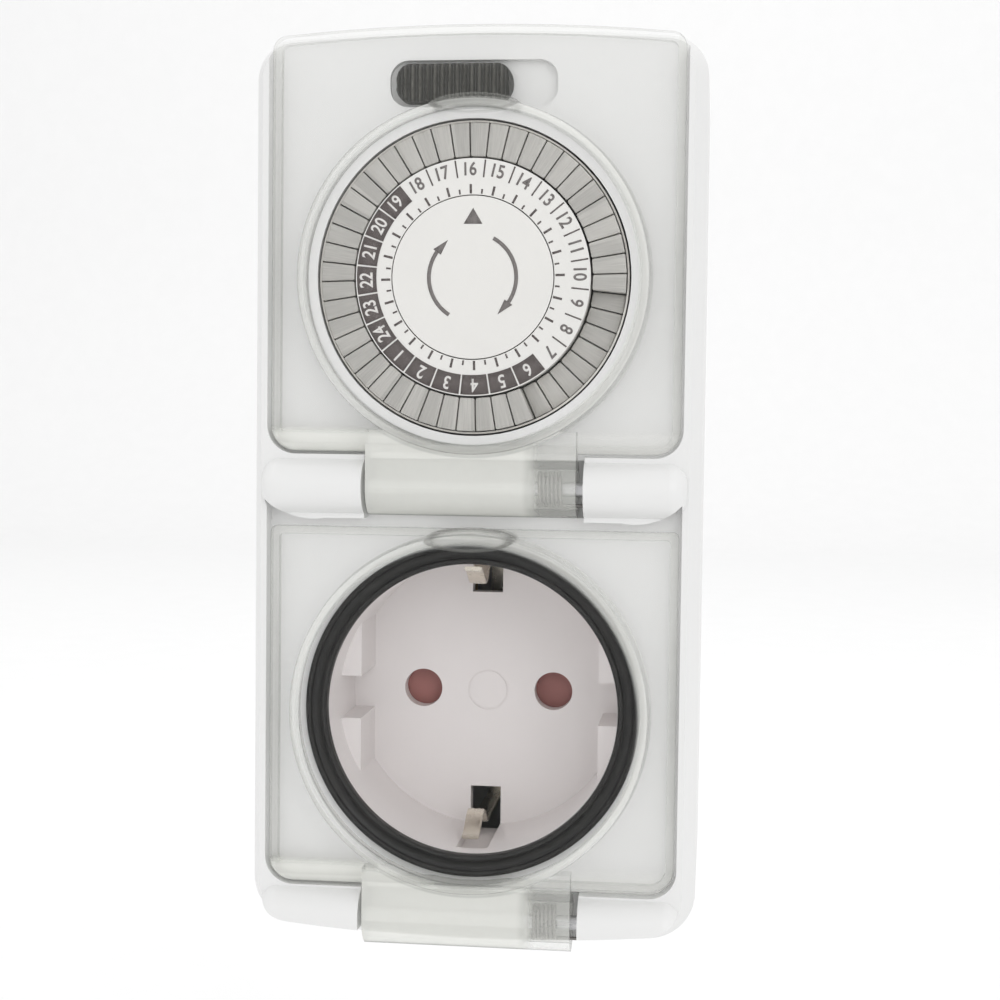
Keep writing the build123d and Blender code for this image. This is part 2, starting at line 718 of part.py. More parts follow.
def tappet_pair(hour):
    """The two half-hour tappets of one hour, pushed in if the timer is set on for it."""
    step = 360.0 / TAPPETS
    middle = TOP_HOUR_OFFSET + (hour - HOUR_AT_TOP) * 360.0 / DIAL_HOURS
    shift = TAPPET_TRAVEL if FIRST_PRESSED <= hour <= LAST_PRESSED else 0.0
    pair = [turned(tappet(), middle + side * step / 2) for side in (-1, 1)]
    return joined([Pos(0, shift, 0) * one for one in pair])


# ---------------------------------------------------------------- mechanism
def mechanism_plate():
    """Plate behind the dial that carries the axle, the gear arbor, the lever and the switch."""
    plate = block(-PLATE_HALF, PLATE_HALF, PLATE_FRONT, PLATE_BACK, PLATE_LOW, PLATE_HIGH)
    w = PLATE_TAB_HALF
    plate += block(-w, w, PLATE_FRONT, PLATE_BACK, PLATE_HIGH - 0.5, PLATE_TAB_TOP)
    for x, z in POSTS:
        plate += rod(x, z, POST_R, WALL, PLATE_FRONT + EPS)
    low = LEVER_Z - LUG_REACH
    for x in (-LUG_X, LUG_X):
        lug_left = x - LUG_HALF
        plate += block(lug_left, x + LUG_HALF, LUG_FRONT, PLATE_FRONT + EPS, low, LEVER_Z + LUG_REACH)
    plate -= cross_rod(LEVER_PIN_R, LEVER_AXIS, LEVER_Z, -5, 5)
    way = LEVER_HALF_WIDTH + 0.4
    plate -= block(-way, way, LEVER_FRONT + 0.1, PLATE_BACK + 1, LEVER_TIP_Z - 1.4, low)
    x, z = train_centre()
    plate -= rod(x, z, ARBOR_R, PLATE_FRONT - 1, PLATE_BACK + 1)
    x, z = motor_centre()
    return plate - rod(x, z, MOTOR_SHAFT_R + 0.6, PLATE_FRONT - 1, PLATE_BACK + 1)


def gear_arbor():
    """Steel arbor of the intermediate gear."""
    x, z = train_centre()
    return rod(x, z, ARBOR_R, DISC_FRONT, PLATE_BACK)


def intermediate_gear():
    """Compound gear between the motor pinion and the dial wheel."""
    centre = train_centre()
    pinion = gear(PINION_TEETH, DIAL_MODULE, DISC_FRONT + 0.1, WHEEL_FRONT + EPS, 45.0, centre)
    half_pitch = 180.0 / WHEEL_TEETH
    wheel = gear(WHEEL_TEETH, WHEEL_MODULE, WHEEL_FRONT, WHEEL_BACK, half_pitch, centre)
    return pinion + wheel - rod(*centre, ARBOR_R + RUNNING, 2, 12)


def motor_pinion():
    """Motor output pinion and its shaft."""
    centre = motor_centre()
    pinion = gear(PINION_TEETH, WHEEL_MODULE, WHEEL_FRONT - 0.2, WHEEL_BACK + 0.2, 0.0, centre)
    return pinion + rod(*centre, MOTOR_SHAFT_R, WHEEL_BACK, PLATE_BACK + 3)


def motor_case():
    """Sealed synchronous geared motor, one turn an hour at the pinion."""
    x, z = motor_centre()
    case = rod(x, z, MOTOR_R, PLATE_BACK, PLATE_BACK + MOTOR_LENGTH)
    case = fillet(case.faces().sort_by(Axis.Y)[-1].edges(), 1.2)
    return case - rod(x, z, MOTOR_SHAFT_R + RUNNING, PLATE_BACK - 1, PLATE_BACK + 4)


def knob():
    """Ribbed knob of the override slider."""
    place = Pos((KNOB_LEFT + KNOB_RIGHT) / 2, SLIDER_Z)
    length = KNOB_RIGHT - KNOB_LEFT
    height = 2 * KNOB_HALF_HEIGHT
    base_front = KNOB_FRONT + RIB_HEIGHT
    face = RectangleRounded(length, height, KNOB_HALF_HEIGHT - 0.5)
    shape = prism(place * face, base_front, SLOT_FLOOR - 0.1)
    trim = 2 * RIB_MARGIN
    inner = RectangleRounded(length - trim, height - trim, KNOB_HALF_HEIGHT - 0.5 - RIB_MARGIN)
    ribs = prism(place * inner, KNOB_FRONT, base_front + EPS)
    half = RIB_GAP / 2
    for n in range(KNOB_RIBS + 1):
        x = KNOB_LEFT + (n + 0.5) * length / (KNOB_RIBS + 1)
        ribs -= block(x - half, x + half, KNOB_FRONT - 1, base_front, SLIDER_Z - 4, SLIDER_Z + 4)
    return shape + ribs


def override_slider():
    """Knob with the stalk and cam foot that push the switch lever."""
    left = STALK_LEFT
    right = STALK_RIGHT
    top = SLIDER_Z + STALK_HALF
    slider = knob()
    slider += block(left, right, SLOT_FLOOR - 0.2, STALK_BACK, SLIDER_Z - STALK_HALF, top)
    slider += block(left, right, STALK_FRONT, STALK_BACK, FOOT_LOW, top)
    foot = block(left, right, STALK_BACK - 0.1, FOOT_BACK, FOOT_LOW, FOOT_HIGH)
    cam_edge = foot.faces().sort_by(Axis.Y)[-1].edges().sort_by(Axis.X)[-1]
    return slider + chamfer(cam_edge, FOOT_CHAMFER)


def switch_lever():
    """Lever between the tappet stems, the slider's foot and the switch plunger."""
    w = LEVER_HALF_WIDTH
    lever = block(-w, w, LEVER_FRONT, LEVER_BACK, LEVER_TIP_Z, LEVER_Z)
    lever += cross_rod(LEVER_EYE_R, LEVER_AXIS, LEVER_Z, -w, w)
    return lever - cross_rod(LEVER_PIN_R + RUNNING, LEVER_AXIS, LEVER_Z, -5, 5)


def lever_pin():
    """Pivot pin of the switch lever."""
    return cross_rod(LEVER_PIN_R, LEVER_AXIS, LEVER_Z, -LEVER_PIN_HALF, LEVER_PIN_HALF)


def micro_switch():
    """Snap-action switch behind the plate, with a hole for its plunger."""
    case = block(-SWITCH_HALF, SWITCH_HALF, PLATE_BACK, SWITCH_BACK, SWITCH_LOW, SWITCH_HIGH)
    w = PLUNGER_HALF + 0.1
    return case - block(-w, w, PLATE_BACK - 1, PLATE_BACK + 4, PLUNGER_Z - w, PLUNGER_Z + w)


def switch_plunger():
    """Plunger of the switch. Its rounded end faces the lever."""
    w = PLUNGER_HALF
    front = LEVER_BACK + PLUNGER_CLEAR
    plunger = block(-w, w, front, PLATE_BACK + PLUNGER_END, PLUNGER_Z - w, PLUNGER_Z + w)
    return fillet(plunger.faces().sort_by(Axis.Y)[0].edges(), 0.3)


# ---------------------------------------------------------------- socket
def recess_rib(side):
    """Flat rib on one side of the recess, with its keying notch."""
    near, far = sorted((side * RIB_X, side * (RECESS_R + 1)))
    low = SOCKET_Z - RIB_HALF
    rib = block(near, far, RIB_START, RECESS_DEPTH + 1, low, SOCKET_Z + RIB_HALF)
    return rib - block(-22, 22, 0, 20, SOCKET_Z - RIB_NOTCH, SOCKET_Z + RIB_NOTCH)


def socket_insert():
    """Moulded recess for a round earthed plug, with side ribs, pin holes and earth slots."""
    floor_back = RECESS_DEPTH + FLOOR_THICK
    recess = rod(0, SOCKET_Z, RECESS_R, -1, RECESS_DEPTH)
    for side in (-1, 1):
        recess -= recess_rib(side)
    cup = rod(0, SOCKET_Z, INSERT_R, 0, floor_back) - recess
    for side in (-1, 1):
        cup -= rod(side * PIN_SPACING / 2, SOCKET_Z, PIN_HOLE_R, 10, floor_back + 1)
        low, high = sorted((side * EARTH_SLOT_IN, side * (RECESS_R + 1.2)))
        slot_low = SOCKET_Z + low
        cup -= block(EARTH_LEFT, EARTH_RIGHT, EARTH_SLOT_FRONT, floor_back + 1, slot_low, SOCKET_Z + high)
    return cup - ring(SOCKET_Z, MARK_IN_R, MARK_OUT_R, RECESS_DEPTH - 1, RECESS_DEPTH + MARK_DEPTH)


def socket_seal():
    """Black rubber ring round the mouth of the socket, with a raised inner and outer lip."""
    seal = ring(SOCKET_Z, RECESS_R + 0.05, SEAL_OUT_R, SEAL_FRONT, 0)
    low = RECESS_R + SEAL_LIP_IN
    high = SEAL_OUT_R - SEAL_LIP_OUT
    return seal - ring(SOCKET_Z, low, high, -3, SEAL_FRONT + SEAL_GROOVE)


def earth_bracket():
    """Sprung earth strip: a bar behind the floor and two clips that reach into the recess."""
    w = CLIP_THICK
    r = CLIP_R
    neck = CLIP_NECK_R
    clip = (
        (EARTH_BACK, r),
        (15.0, r),
        (9.5, neck),
        (8.3, neck),
        (CLIP_FRONT, r),
        (CLIP_FRONT, r + w),
        (8.5, neck + w),
        (9.3, neck + w),
        (14.7, r + w),
        (EARTH_BACK, r + w),
    )
    bracket = block(CLIP_LEFT, CLIP_RIGHT, EARTH_FRONT, EARTH_BACK, SOCKET_Z - r - w, SOCKET_Z + r + w)
    for side in (-1, 1):
        points = [(d, SOCKET_Z + side * z) for d, z in clip]
        bracket += side_prism(points, CLIP_LEFT, CLIP_RIGHT)
    return bracket


def pin_fork(side, reach_z):
    """Two-leaf contact for a plug pin, as one solid with its base."""
    x = side * PIN_SPACING / 2
    w = FORK_HALF
    low = SOCKET_Z - CONTACT_HALF
    high = SOCKET_Z + CONTACT_HALF
    fork = block(x - w, x + w, STRIP_FRONT, STRIP_BACK, low, reach_z)
    for leaf in (x - w, x + w - LEAF_THICK):
        fork += block(leaf, leaf + LEAF_THICK, LEAF_FRONT, STRIP_FRONT + EPS, low, high)
    return fork


def neutral_contact():
    """Right-hand contact and the strip up to its plug pin."""
    return pin_fork(1, DIAL_Z + 3)


def live_contact():
    """Left-hand contact and the strip up to the switch."""
    left = FORK_HALF - PIN_SPACING / 2 - EPS
    right = left + EPS + TAIL_WIDTH
    contact = pin_fork(-1, SOCKET_Z + CONTACT_HALF)
    contact += block(left, right, TAIL_FRONT, TAIL_BACK, SOCKET_Z - CONTACT_HALF, TAIL_TOP)
    return contact + block(left, right, SWITCH_BACK, TAIL_FRONT + EPS, TAIL_TOP - TAIL_THICK, TAIL_TOP)


def live_feed_strip():
    """Strip from the live plug pin to the switch."""
    strip = block(FEED_LEFT, FEED_RIGHT, STRIP_FRONT, STRIP_BACK, DIAL_Z - 3, FEED_TOP)
    left = FEED_RIGHT - FEED_LEG
    low = FEED_TOP - TAIL_THICK
    return strip + block(left, FEED_RIGHT, SWITCH_BACK, STRIP_FRONT + EPS, low, FEED_TOP)


def shutter():
    """Child-protection shutter behind the pin holes, drawn shut."""
    half = PIN_SPACING / 2
    low = SOCKET_Z - SHUTTER_HALF
    plate = block(-half, half, SHUTTER_FRONT, SHUTTER_BACK, low, SOCKET_Z + SHUTTER_HALF)
    for x in (-half, half):
        plate += rod(x, SOCKET_Z, SHUTTER_END_R, SHUTTER_FRONT, SHUTTER_BACK)
    return plate


def shutter_spring():
    """Small coil under the shutter, drawn as its sleeve."""
    place = Pos(0, MOUTH_Y + (SHUTTER_FRONT + SHUTTER_BACK) / 2, SOCKET_Z - COIL_DROP)
    return place * (Cylinder(COIL_R, COIL_LENGTH) - Cylinder(COIL_IN_R, COIL_LENGTH + 1))


# ---------------------------------------------------------------- plug
def plug_pin(side):
    """Plug pin with a rounded tip and a thinner shank inside the body."""
    x = side * PIN_SPACING / 2
    face = BODY_DEPTH + PLUG_LENGTH
    pin = rod(x, DIAL_Z, PIN_R, face, face + PIN_LENGTH)
    pin = fillet(pin.faces().sort_by(Axis.Y)[-1].edges(), PIN_TIP)
    return pin + rod(x, DIAL_Z, SHANK_R, STRIP_BACK, face + EPS)


def plug_earth_contacts():
    """Earth bracket of the plug: a bar inside and two blades flush with the plug's sides."""
    w = BLADE_HALF
    half = BLADE_THICK / 2
    far = BODY_DEPTH + PLUG_LENGTH - 1
    reach = PLUG_R - BLADE_INSET + BLADE_THICK
    bracket = block(-w, w, EARTH_FRONT, EARTH_BACK, DIAL_Z - reach, DIAL_Z + reach)
    for side in (-1, 1):
        z = DIAL_Z + side * (reach - half)
        bracket += block(-w, w, EARTH_FRONT, far, z - half, z + half)
    return bracket


def earth_strip():
    """Link between the plug's and the socket's earth brackets."""
    top = DIAL_Z - PLUG_R + BLADE_INSET - BLADE_THICK
    bottom = SOCKET_Z + CLIP_R + CLIP_THICK
    return block(CLIP_LEFT, CLIP_RIGHT, EARTH_FRONT, EARTH_BACK, bottom, top)


# ---------------------------------------------------------------- write the parts
def all_nodes():
    """Every node's name and shape."""
    nodes = {
        "front_housing": front_housing(),
        "rear_housing": rear_housing(),
        "housing_gasket": housing_gasket(),
        "housing_screws": housing_screws(),
        "plug_seal": plug_seal(),
        "dial_lid": dial_lid(),
        "socket_lid": socket_lid(),
        "lid_hinge_pins": lid_hinge_pins(),
        "dial_lid_spring": lid_spring(DIAL_HINGE_Z),
        "socket_lid_spring": lid_spring(SOCKET_HINGE_Z),
        "dial_wheel": dial_wheel(),
        "hour_ring": hour_ring(),
        "pointer_disc": pointer_disc(),
        "dial_axle": dial_axle(),
        "mechanism_plate": mechanism_plate(),
        "gear_arbor": gear_arbor(),
        "intermediate_gear": intermediate_gear(),
        "motor_pinion": motor_pinion(),
        "motor_case": motor_case(),
        "override_slider": override_slider(),
        "switch_lever": switch_lever(),
        "lever_pin": lever_pin(),
        "micro_switch": micro_switch(),
        "switch_plunger": switch_plunger(),
        "socket_insert": socket_insert(),
        "socket_seal": socket_seal(),
        "earth_bracket": earth_bracket(),
        "neutral_contact": neutral_contact(),
        "live_contact": live_contact(),
        "live_feed_strip": live_feed_strip(),
        "shutter": shutter(),
        "shutter_spring": shutter_spring(),
        "plug_pin_live": plug_pin(-1),
        "plug_pin_neutral": plug_pin(1),
        "plug_earth_contacts": plug_earth_contacts(),
        "earth_strip": earth_strip(),
    }
    for hour in range(1, DIAL_HOURS + 1):
        nodes[f"tappets_{hour:02d}"] = tappet_pair(hour)
    return nodes


os.makedirs("parts", exist_ok=True)
for name, shape in all_nodes().items():
    export_step(shape, f"parts/{name}.step")
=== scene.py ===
"""Looks of an outdoor plug-in 24 hour timer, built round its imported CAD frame.

Every place is in the row frame: +Z up, the lids face -Y, the origin is the middle of the plug
face. Sizes in the classes are millimetres; meshes are made in metres. A depth is measured
backwards from the mouth plane, the flat front of the housing.
"""

import logging
import math
from dataclasses import dataclass
from enum import Enum
from typing import Optional, Sequence, Union

import bmesh
import bpy
import numpy as np
from mathutils import Matrix, Vector


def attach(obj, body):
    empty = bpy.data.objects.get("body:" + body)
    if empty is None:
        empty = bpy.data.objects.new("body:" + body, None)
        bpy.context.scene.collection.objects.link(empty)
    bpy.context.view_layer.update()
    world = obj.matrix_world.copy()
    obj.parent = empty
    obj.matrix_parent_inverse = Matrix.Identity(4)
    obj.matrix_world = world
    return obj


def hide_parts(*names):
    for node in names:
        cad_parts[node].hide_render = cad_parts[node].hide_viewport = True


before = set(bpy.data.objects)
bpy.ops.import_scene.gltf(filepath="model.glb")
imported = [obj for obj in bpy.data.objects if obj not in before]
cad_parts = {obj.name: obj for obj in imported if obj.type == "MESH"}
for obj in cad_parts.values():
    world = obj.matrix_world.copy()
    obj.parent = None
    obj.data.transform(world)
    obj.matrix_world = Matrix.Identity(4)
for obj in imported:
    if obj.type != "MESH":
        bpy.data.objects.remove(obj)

MM = 0.001
MOUTH = -58.0
HOURS = 24
TAPPETS = 48
HOUR_TURN = 15.0
TOP_HOUR = 16
TOP_TURN = 1.7
WELD = 2e-7
SLIVER = 1e-8

Colour = tuple[float, float, float]
Signal = bpy.types.NodeSocket
Value = Union[Signal, float, Colour, None]
log = logging.getLogger("timer")


class Body(Enum):
    """The bodies that new pieces ride on, besides the tappets' own."""

    HOUSING = "housing"
    DIAL = "dial"
    SLIDER = "slider"


class Turn(Enum):
    """How a mesh's faces are shaded: all round, or sharp at edges steeper than an angle."""

    ROUND = 180.0
    CORNERS = 38.0
    CRISP = 22.0


# ------------------------------------------------------------------ node trees
class Recipe:
    """A material's node tree, written in small steps."""

    def __init__(self, name: str) -> None:
        """Starts a material with one Principled shader.

        Args:
            name: the material's name.
        """
        self.material = bpy.data.materials.new(name)
        self.material.use_nodes = True
        self.nodes = self.material.node_tree.nodes
        self.links = self.material.node_tree.links
        self.shader = self.nodes["Principled BSDF"]
        self.place = self.nodes.new("ShaderNodeTexCoord").outputs["Object"]

    def set(self, **values: float) -> None:
        """Sets sockets of the Principled shader; underscores stand for spaces."""
        for key, value in values.items():
            self.shader.inputs[key.replace("_", " ")].default_value = value

    def feed(self, socket: str, source: Signal) -> None:
        """Links a source to a socket of the Principled shader."""
        self.links.new(source, self.shader.inputs[socket])

    def put(self, slot: Signal, value: Value) -> None:
        """Fills a node's socket.

        Args:
            slot: the socket.
            value: a signal to link, a number or colour to set, or None to leave it alone.
        """
        if isinstance(value, Signal):
            self.links.new(value, slot)
        elif value is not None:
            slot.default_value = (*value, 1.0) if isinstance(value, tuple) else value

    def maths(self, kind: str, *values: Value, clamp: bool = False) -> Signal:
        """One arithmetic step.

        Args:
            kind: the Math node's operation.
            values: as many signals or numbers as the operation takes.
            clamp: keeps the result between 0 and 1.

        Returns:
            The result.
        """
        node = self.nodes.new("ShaderNodeMath")
        node.operation = kind
        node.use_clamp = clamp
        for slot, value in zip(node.inputs, values):
            self.put(slot, value)
        return node.outputs[0]

    def squares(self, u: Signal, v: Signal) -> Signal:
        """The sum of two squares."""
        return self.maths("ADD", self.maths("MULTIPLY", u, u), self.maths("MULTIPLY", v, v))

    def axes(self) -> tuple[Signal, Signal, Signal]:
        """The X, Y and Z of the piece's own place."""
        node = self.nodes.new("ShaderNodeSeparateXYZ")
        self.links.new(self.place, node.inputs[0])
        return tuple(node.outputs)

    def joined(self, *parts: Value) -> Signal:
        """A vector from three signals or numbers.

        Args:
            parts: its X, Y and Z.

        Returns:
            The vector.
        """
        node = self.nodes.new("ShaderNodeCombineXYZ")
        for slot, value in zip(node.inputs, parts):
            self.put(slot, value)
        return node.outputs[0]

    def noise(self, scale: float, detail: float = 3.0, place: Optional[Signal] = None) -> Signal:
        """Cloudy noise.

        Args:
            scale: noise cells in a metre, or in a unit of the given place.
            detail: octaves of finer noise.
            place: coordinates, the piece's own in metres unless given.

        Returns:
            A value, about 0.5 in the mean.
        """
        node = self.nodes.new("ShaderNodeTexNoise")
        node.inputs["Scale"].default_value = scale
        node.inputs["Detail"].default_value = detail
        self.links.new(place or self.place, node.inputs["Vector"])
        return node.outputs["Fac"]

    def ramp(
        self,
        source: Signal,
        low: float,
        high: float,
        to_low: float = 0.0,
        to_high: float = 1.0,
    ) -> Signal:
        """Maps a value smoothly from one span on to another, held at both ends.

        Args:
            source: the value.
            low: where it starts to change.
            high: where it stops changing.
            to_low: the result at low.
            to_high: the result at high.

        Returns:
            The mapped value.
        """
        node = self.nodes.new("ShaderNodeMapRange")
        node.interpolation_type = "SMOOTHSTEP"
        self.links.new(source, node.inputs["Value"])
        spans = {"From Min": low, "From Max": high, "To Min": to_low, "To Max": to_high}
        for key, value in spans.items():
            node.inputs[key].default_value = value
        return node.outputs["Result"]

    def blend(self, share: Signal, first: Value, second: Value) -> Signal:
        """Mixes two colours.

        Args:
            share: 0 for all of the first, 1 for all of the second.
            first: a colour or a signal.
            second: a colour or a signal.

        Returns:
            The mixed colour.
        """
        node = self.nodes.new("ShaderNodeMix")
        node.data_type = "RGBA"
        self.links.new(share, node.inputs["Factor"])
        self.put(node.inputs["A"], first)
        self.put(node.inputs["B"], second)
        return node.outputs["Result"]

    def emboss(self, height: Signal, depth: float, strength: float = 1.0) -> None:
        """Raises the surface.

        Args:
            height: 0 to 1.
            depth: millimetres that a height of 1 stands for.
            strength: share of the effect that is kept.
        """
        node = self.nodes.new("ShaderNodeBump")
        node.inputs["Strength"].default_value = strength
        node.inputs["Distance"].default_value = depth * MM
        self.links.new(height, node.inputs["Height"])
        self.feed("Normal", node.outputs["Normal"])


def shade(colour: Colour, factor: float) -> Colour:
    """A colour made lighter or darker by a factor."""
    return tuple(min(1.0, c * factor) for c in colour)


# ------------------------------------------------------------------ finishes
@dataclass(frozen=True)
class Moulded:
    """Moulded plastic: soft clouds of tone, fine grain, and gloss that varies a little.

    The seam, if given, is the depth at which two shells meet, drawn as a thin shadow line
    round the body.
    """

    name: str
    colour: Colour
    roughness: float
    grain: float = 2600.0
    depth: float = 0.012
    clouds: float = 0.03
    cloud_scale: float = 55.0
    seam: Optional[float] = None
    seam_core: float = 0.06
    seam_edge: float = 0.2
    seam_share: float = 0.55
    seam_tone: float = 0.25

    def make(self) -> bpy.types.Material:
        """Builds the material.

        Returns:
            The material.
        """
        r = Recipe(self.name)
        tone = r.blend(
            r.ramp(r.noise(self.cloud_scale, 2.0), 0.3, 0.7),
            shade(self.colour, 1.0 - self.clouds),
            shade(self.colour, 1.0 + self.clouds),
        )
        if self.seam is not None:
            off = r.maths("ABSOLUTE", r.maths("SUBTRACT", r.axes()[1], (MOUTH + self.seam) * MM))
            line = r.ramp(off, self.seam_core * MM, self.seam_edge * MM, self.seam_share, 0.0)
            tone = r.blend(line, tone, shade(self.colour, self.seam_tone))
        r.feed("Base Color", tone)
        fine = r.noise(self.grain, 4.0)
        r.feed("Roughness", r.ramp(fine, 0.25, 0.75, self.roughness - 0.05, self.roughness + 0.07))
        r.set(IOR=1.5)
        r.emboss(fine, self.depth)
        return r.material


@dataclass(frozen=True)
class ClearLid:
    """Lid plastic: milky on the flat plate, glassy on the round dome, thick at the hinge.

    The share of milkiness is a smooth step of the distance from the dome's axis, so it changes
    at the dome's foot. Below a line near the hinge the wall is thick and whiter, but thin again
    over the spring's pocket. Faces seen edge on are denser everywhere, and their colour is a
    dark painted shade. A whiter ring on the dome's rim is a painted highlight, and the line round
    the finger lip is grey painted shade. The shares are for one face of a wall, and a line of
    sight crosses two.
    """

    name: str
    centre_z: float
    dome_r: float
    pad_z: float
    bottom: float
    top: float
    half_width: float = 27.6
    skirt: float = 1.1
    milk: Colour = (0.82, 0.83, 0.77)
    glass: Colour = (0.7, 0.72, 0.7)
    # dark painted shade for faces seen edge on
    edge: Colour = (0.24, 0.245, 0.23)
    # whiter milk of the thick wall, and the painted highlight on the dome's rim
    thick_milk: Colour = (0.94, 0.945, 0.9)
    # grey painted shade on the finger lip's line
    lip_tint: Colour = (0.3, 0.3, 0.28)
    lip_size: tuple[float, float] = (5.9, 1.45)
    lip_inset: float = 1.05
    rim_width: float = 1.6
    pocket_left: float = 7.6
    facing_blend: float = 0.42
    facing_power: float = 3.5
    glass_share: float = 0.006
    glass_edge: float = 0.75
    milk_share: tuple[float, float] = (0.03, 0.036)
    milk_edge: float = 0.45
    pad_share: float = 0.45
    pocket_share: float = 0.1
    lip_share: float = 0.2
    rim_share: float = 0.27
    skirt_share: float = 0.08

    def lens(self, r: Recipe, x: Signal, up: Signal) -> Signal:
        """The finger lip's edge, an elliptic line at the top of the dome, painted grey as shade.

        Args:
            r: the material's recipe.
            x: place across the lid.
            up: height over the dome's axis.

        Returns:
            Its share, 1 on the line, a little inside it and 0 outside.
        """
        across = r.maths("DIVIDE", x, self.lip_size[0] * MM)
        lift = r.maths("SUBTRACT", up, (self.dome_r - self.lip_inset) * MM)
        reach = r.squares(across, r.maths("DIVIDE", lift, self.lip_size[1] * MM))
        inner = r.ramp(reach, 0.45, 0.8, 0.12, 1.0)
        return r.maths("MULTIPLY", inner, r.ramp(reach, 0.95, 1.15, 1.0, 0.0))

    def skirt_band(self, r: Recipe, x: Signal, z: Signal) -> Signal:
        """The skirt along the lid's edges, which is what lies outside a rectangle.

        Args:
            r: the material's recipe.
            x: place across the lid.
            z: height.

        Returns:
            Its share, 1 on the skirt and 0 inside the rectangle.
        """
        over_side = r.maths("ABSOLUTE", x)
        over_side = r.maths("SUBTRACT", over_side, (self.half_width - self.skirt) * MM)
        over_top = r.maths("SUBTRACT", z, (self.top - self.skirt) * MM)
        over_low = r.maths("SUBTRACT", (self.bottom + self.skirt) * MM, z)
        furthest = r.maths("MAXIMUM", over_side, r.maths("MAXIMUM", over_top, over_low))
        return r.ramp(furthest, -0.15 * MM, 0.15 * MM)

    def rim_band(self, r: Recipe, away: Signal) -> Signal:
        """The rounded rim of the dome, a ring of even width, painted whiter as a highlight.

        Args:
            r: the material's recipe.
            away: distance from the dome's axis.

        Returns:
            Its share, 1 within the ring.
        """
        low, high = self.dome_r - self.rim_width, self.dome_r
        inner = r.ramp(away, (low - 0.4) * MM, (low + 0.3) * MM)
        outer = r.ramp(away, (high - 0.3) * MM, (high + 0.1) * MM, 1.0, 0.0)
        return r.maths("MULTIPLY", inner, outer)

    def facing(self, r: Recipe) -> Signal:
        """How far a face is seen edge on.

        Args:
            r: the material's recipe.

        Returns:
            0 face on, 1 edge on.
        """
        node = r.nodes.new("ShaderNodeLayerWeight")
        node.inputs["Blend"].default_value = self.facing_blend
        return r.maths("POWER", node.outputs["Facing"], self.facing_power)

    def make(self) -> bpy.types.Material:
        """Builds the material.

        Returns:
            The material.
        """
        r = Recipe(self.name)
        x, _, z = r.axes()
        up = r.maths("SUBTRACT", z, self.centre_z * MM)
        away = r.maths("SQRT", r.squares(x, up))
        plate = r.ramp(away, (self.dome_r - 0.5) * MM, (self.dome_r + 0.3) * MM)
        pad = r.ramp(z, (self.pad_z - 0.6) * MM, (self.pad_z + 0.9) * MM, 1.0, 0.0)
        side_on = self.facing(r)
        clear = r.maths("MULTIPLY_ADD", side_on, self.glass_edge, self.glass_share)
        frost = r.ramp(r.noise(900.0, 4.0), 0.3, 0.7, *self.milk_share)
        milky = r.maths("MULTIPLY_ADD", side_on, self.milk_edge, frost)
        pocket = (self.pocket_left - 0.9) * MM, (self.pocket_left + 1.6) * MM
        wall = r.ramp(x, *pocket, self.pad_share, self.pocket_share)
        solid = r.maths("MULTIPLY", r.maths("ADD", r.maths("MULTIPLY", pad, wall), milky), plate)
        dome = r.maths("MULTIPLY", clear, r.maths("SUBTRACT", 1.0, plate))
        lens, rim, skirt = self.lens(r, x, up), self.rim_band(r, away), self.skirt_band(r, x, z)
        # The finger lip's line of painted shade is made denser too.
        lens_alpha = r.maths("MULTIPLY", lens, self.lip_share)
        marks = r.maths("ADD", lens_alpha, r.maths("MULTIPLY", rim, self.rim_share))
        marks = r.maths("ADD", marks, r.maths("MULTIPLY", skirt, self.skirt_share))
        r.feed("Alpha", r.maths("ADD", r.maths("ADD", solid, dome), marks, clamp=True))
        body = r.blend(plate, self.glass, r.blend(pad, self.milk, self.thick_milk))
        # The dome's rim is blended to a whiter painted highlight, and the finger lip's line to grey
        # painted shade.
        body = r.blend(lens, r.blend(rim, body, self.thick_milk), self.lip_tint)
        # Faces seen edge on are blended towards the dark painted shade.
        r.feed("Base Color", r.blend(r.ramp(side_on, 0.06, 0.5), body, self.edge))
        r.feed("Roughness", r.ramp(plate, 0.0, 1.0, 0.03, 0.3))
        r.set(IOR=1.5, Specular_IOR_Level=0.3)
        r.emboss(r.maths("MULTIPLY", r.noise(4200.0, 3.0), plate), 0.01, 0.6)
        return r.material


@dataclass(frozen=True)
class Brushed:
    """Plastic with fine radial brushing round the dial's axis.

    The brushing is noise of the angle round the axis times a large number and of the distance
    from the axis times a small one, so that each scratch runs outwards. Each of the tappets'
    sectors has a tone of its own too.
    """

    name: str
    colour: Colour
    roughness: float = 0.42
    round_scale: float = 130.0
    out_scale: float = 220.0
    sector_share: float = 0.25
    contrast: float = 0.14

    def make(self) -> bpy.types.Material:
        """Builds the material.

        Returns:
            The material.
        """
        r = Recipe(self.name)
        x, y, z = r.axes()
        angle = r.maths("ARCTAN2", z, x)
        away = r.maths("SQRT", r.squares(x, z))
        scaled = r.maths("MULTIPLY", angle, self.round_scale)
        streak = r.noise(1.0, 4.0, r.joined(scaled, r.maths("MULTIPLY", away, self.out_scale), y))
        white = r.nodes.new("ShaderNodeTexWhiteNoise")
        white.noise_dimensions = "1D"
        sector = r.maths("FLOOR", r.maths("MULTIPLY", angle, TAPPETS / (2.0 * math.pi)))
        r.links.new(sector, white.inputs["W"])
        own = r.maths("MULTIPLY", white.outputs[0], self.sector_share)
        tone = r.maths("ADD", r.maths("MULTIPLY", streak, 1.0 - self.sector_share), own)
        dark, light = (shade(self.colour, 1.0 + side * self.contrast) for side in (-1.0, 1.0))
        r.feed("Base Color", r.blend(r.ramp(tone, 0.25, 0.75), dark, light))
        rough = r.ramp(streak, 0.3, 0.7, self.roughness - 0.1, self.roughness + 0.12)
        r.feed("Roughness", rough)
        r.set(Metallic=0.25)
        r.emboss(streak, 0.02, 0.7)
        return r.material


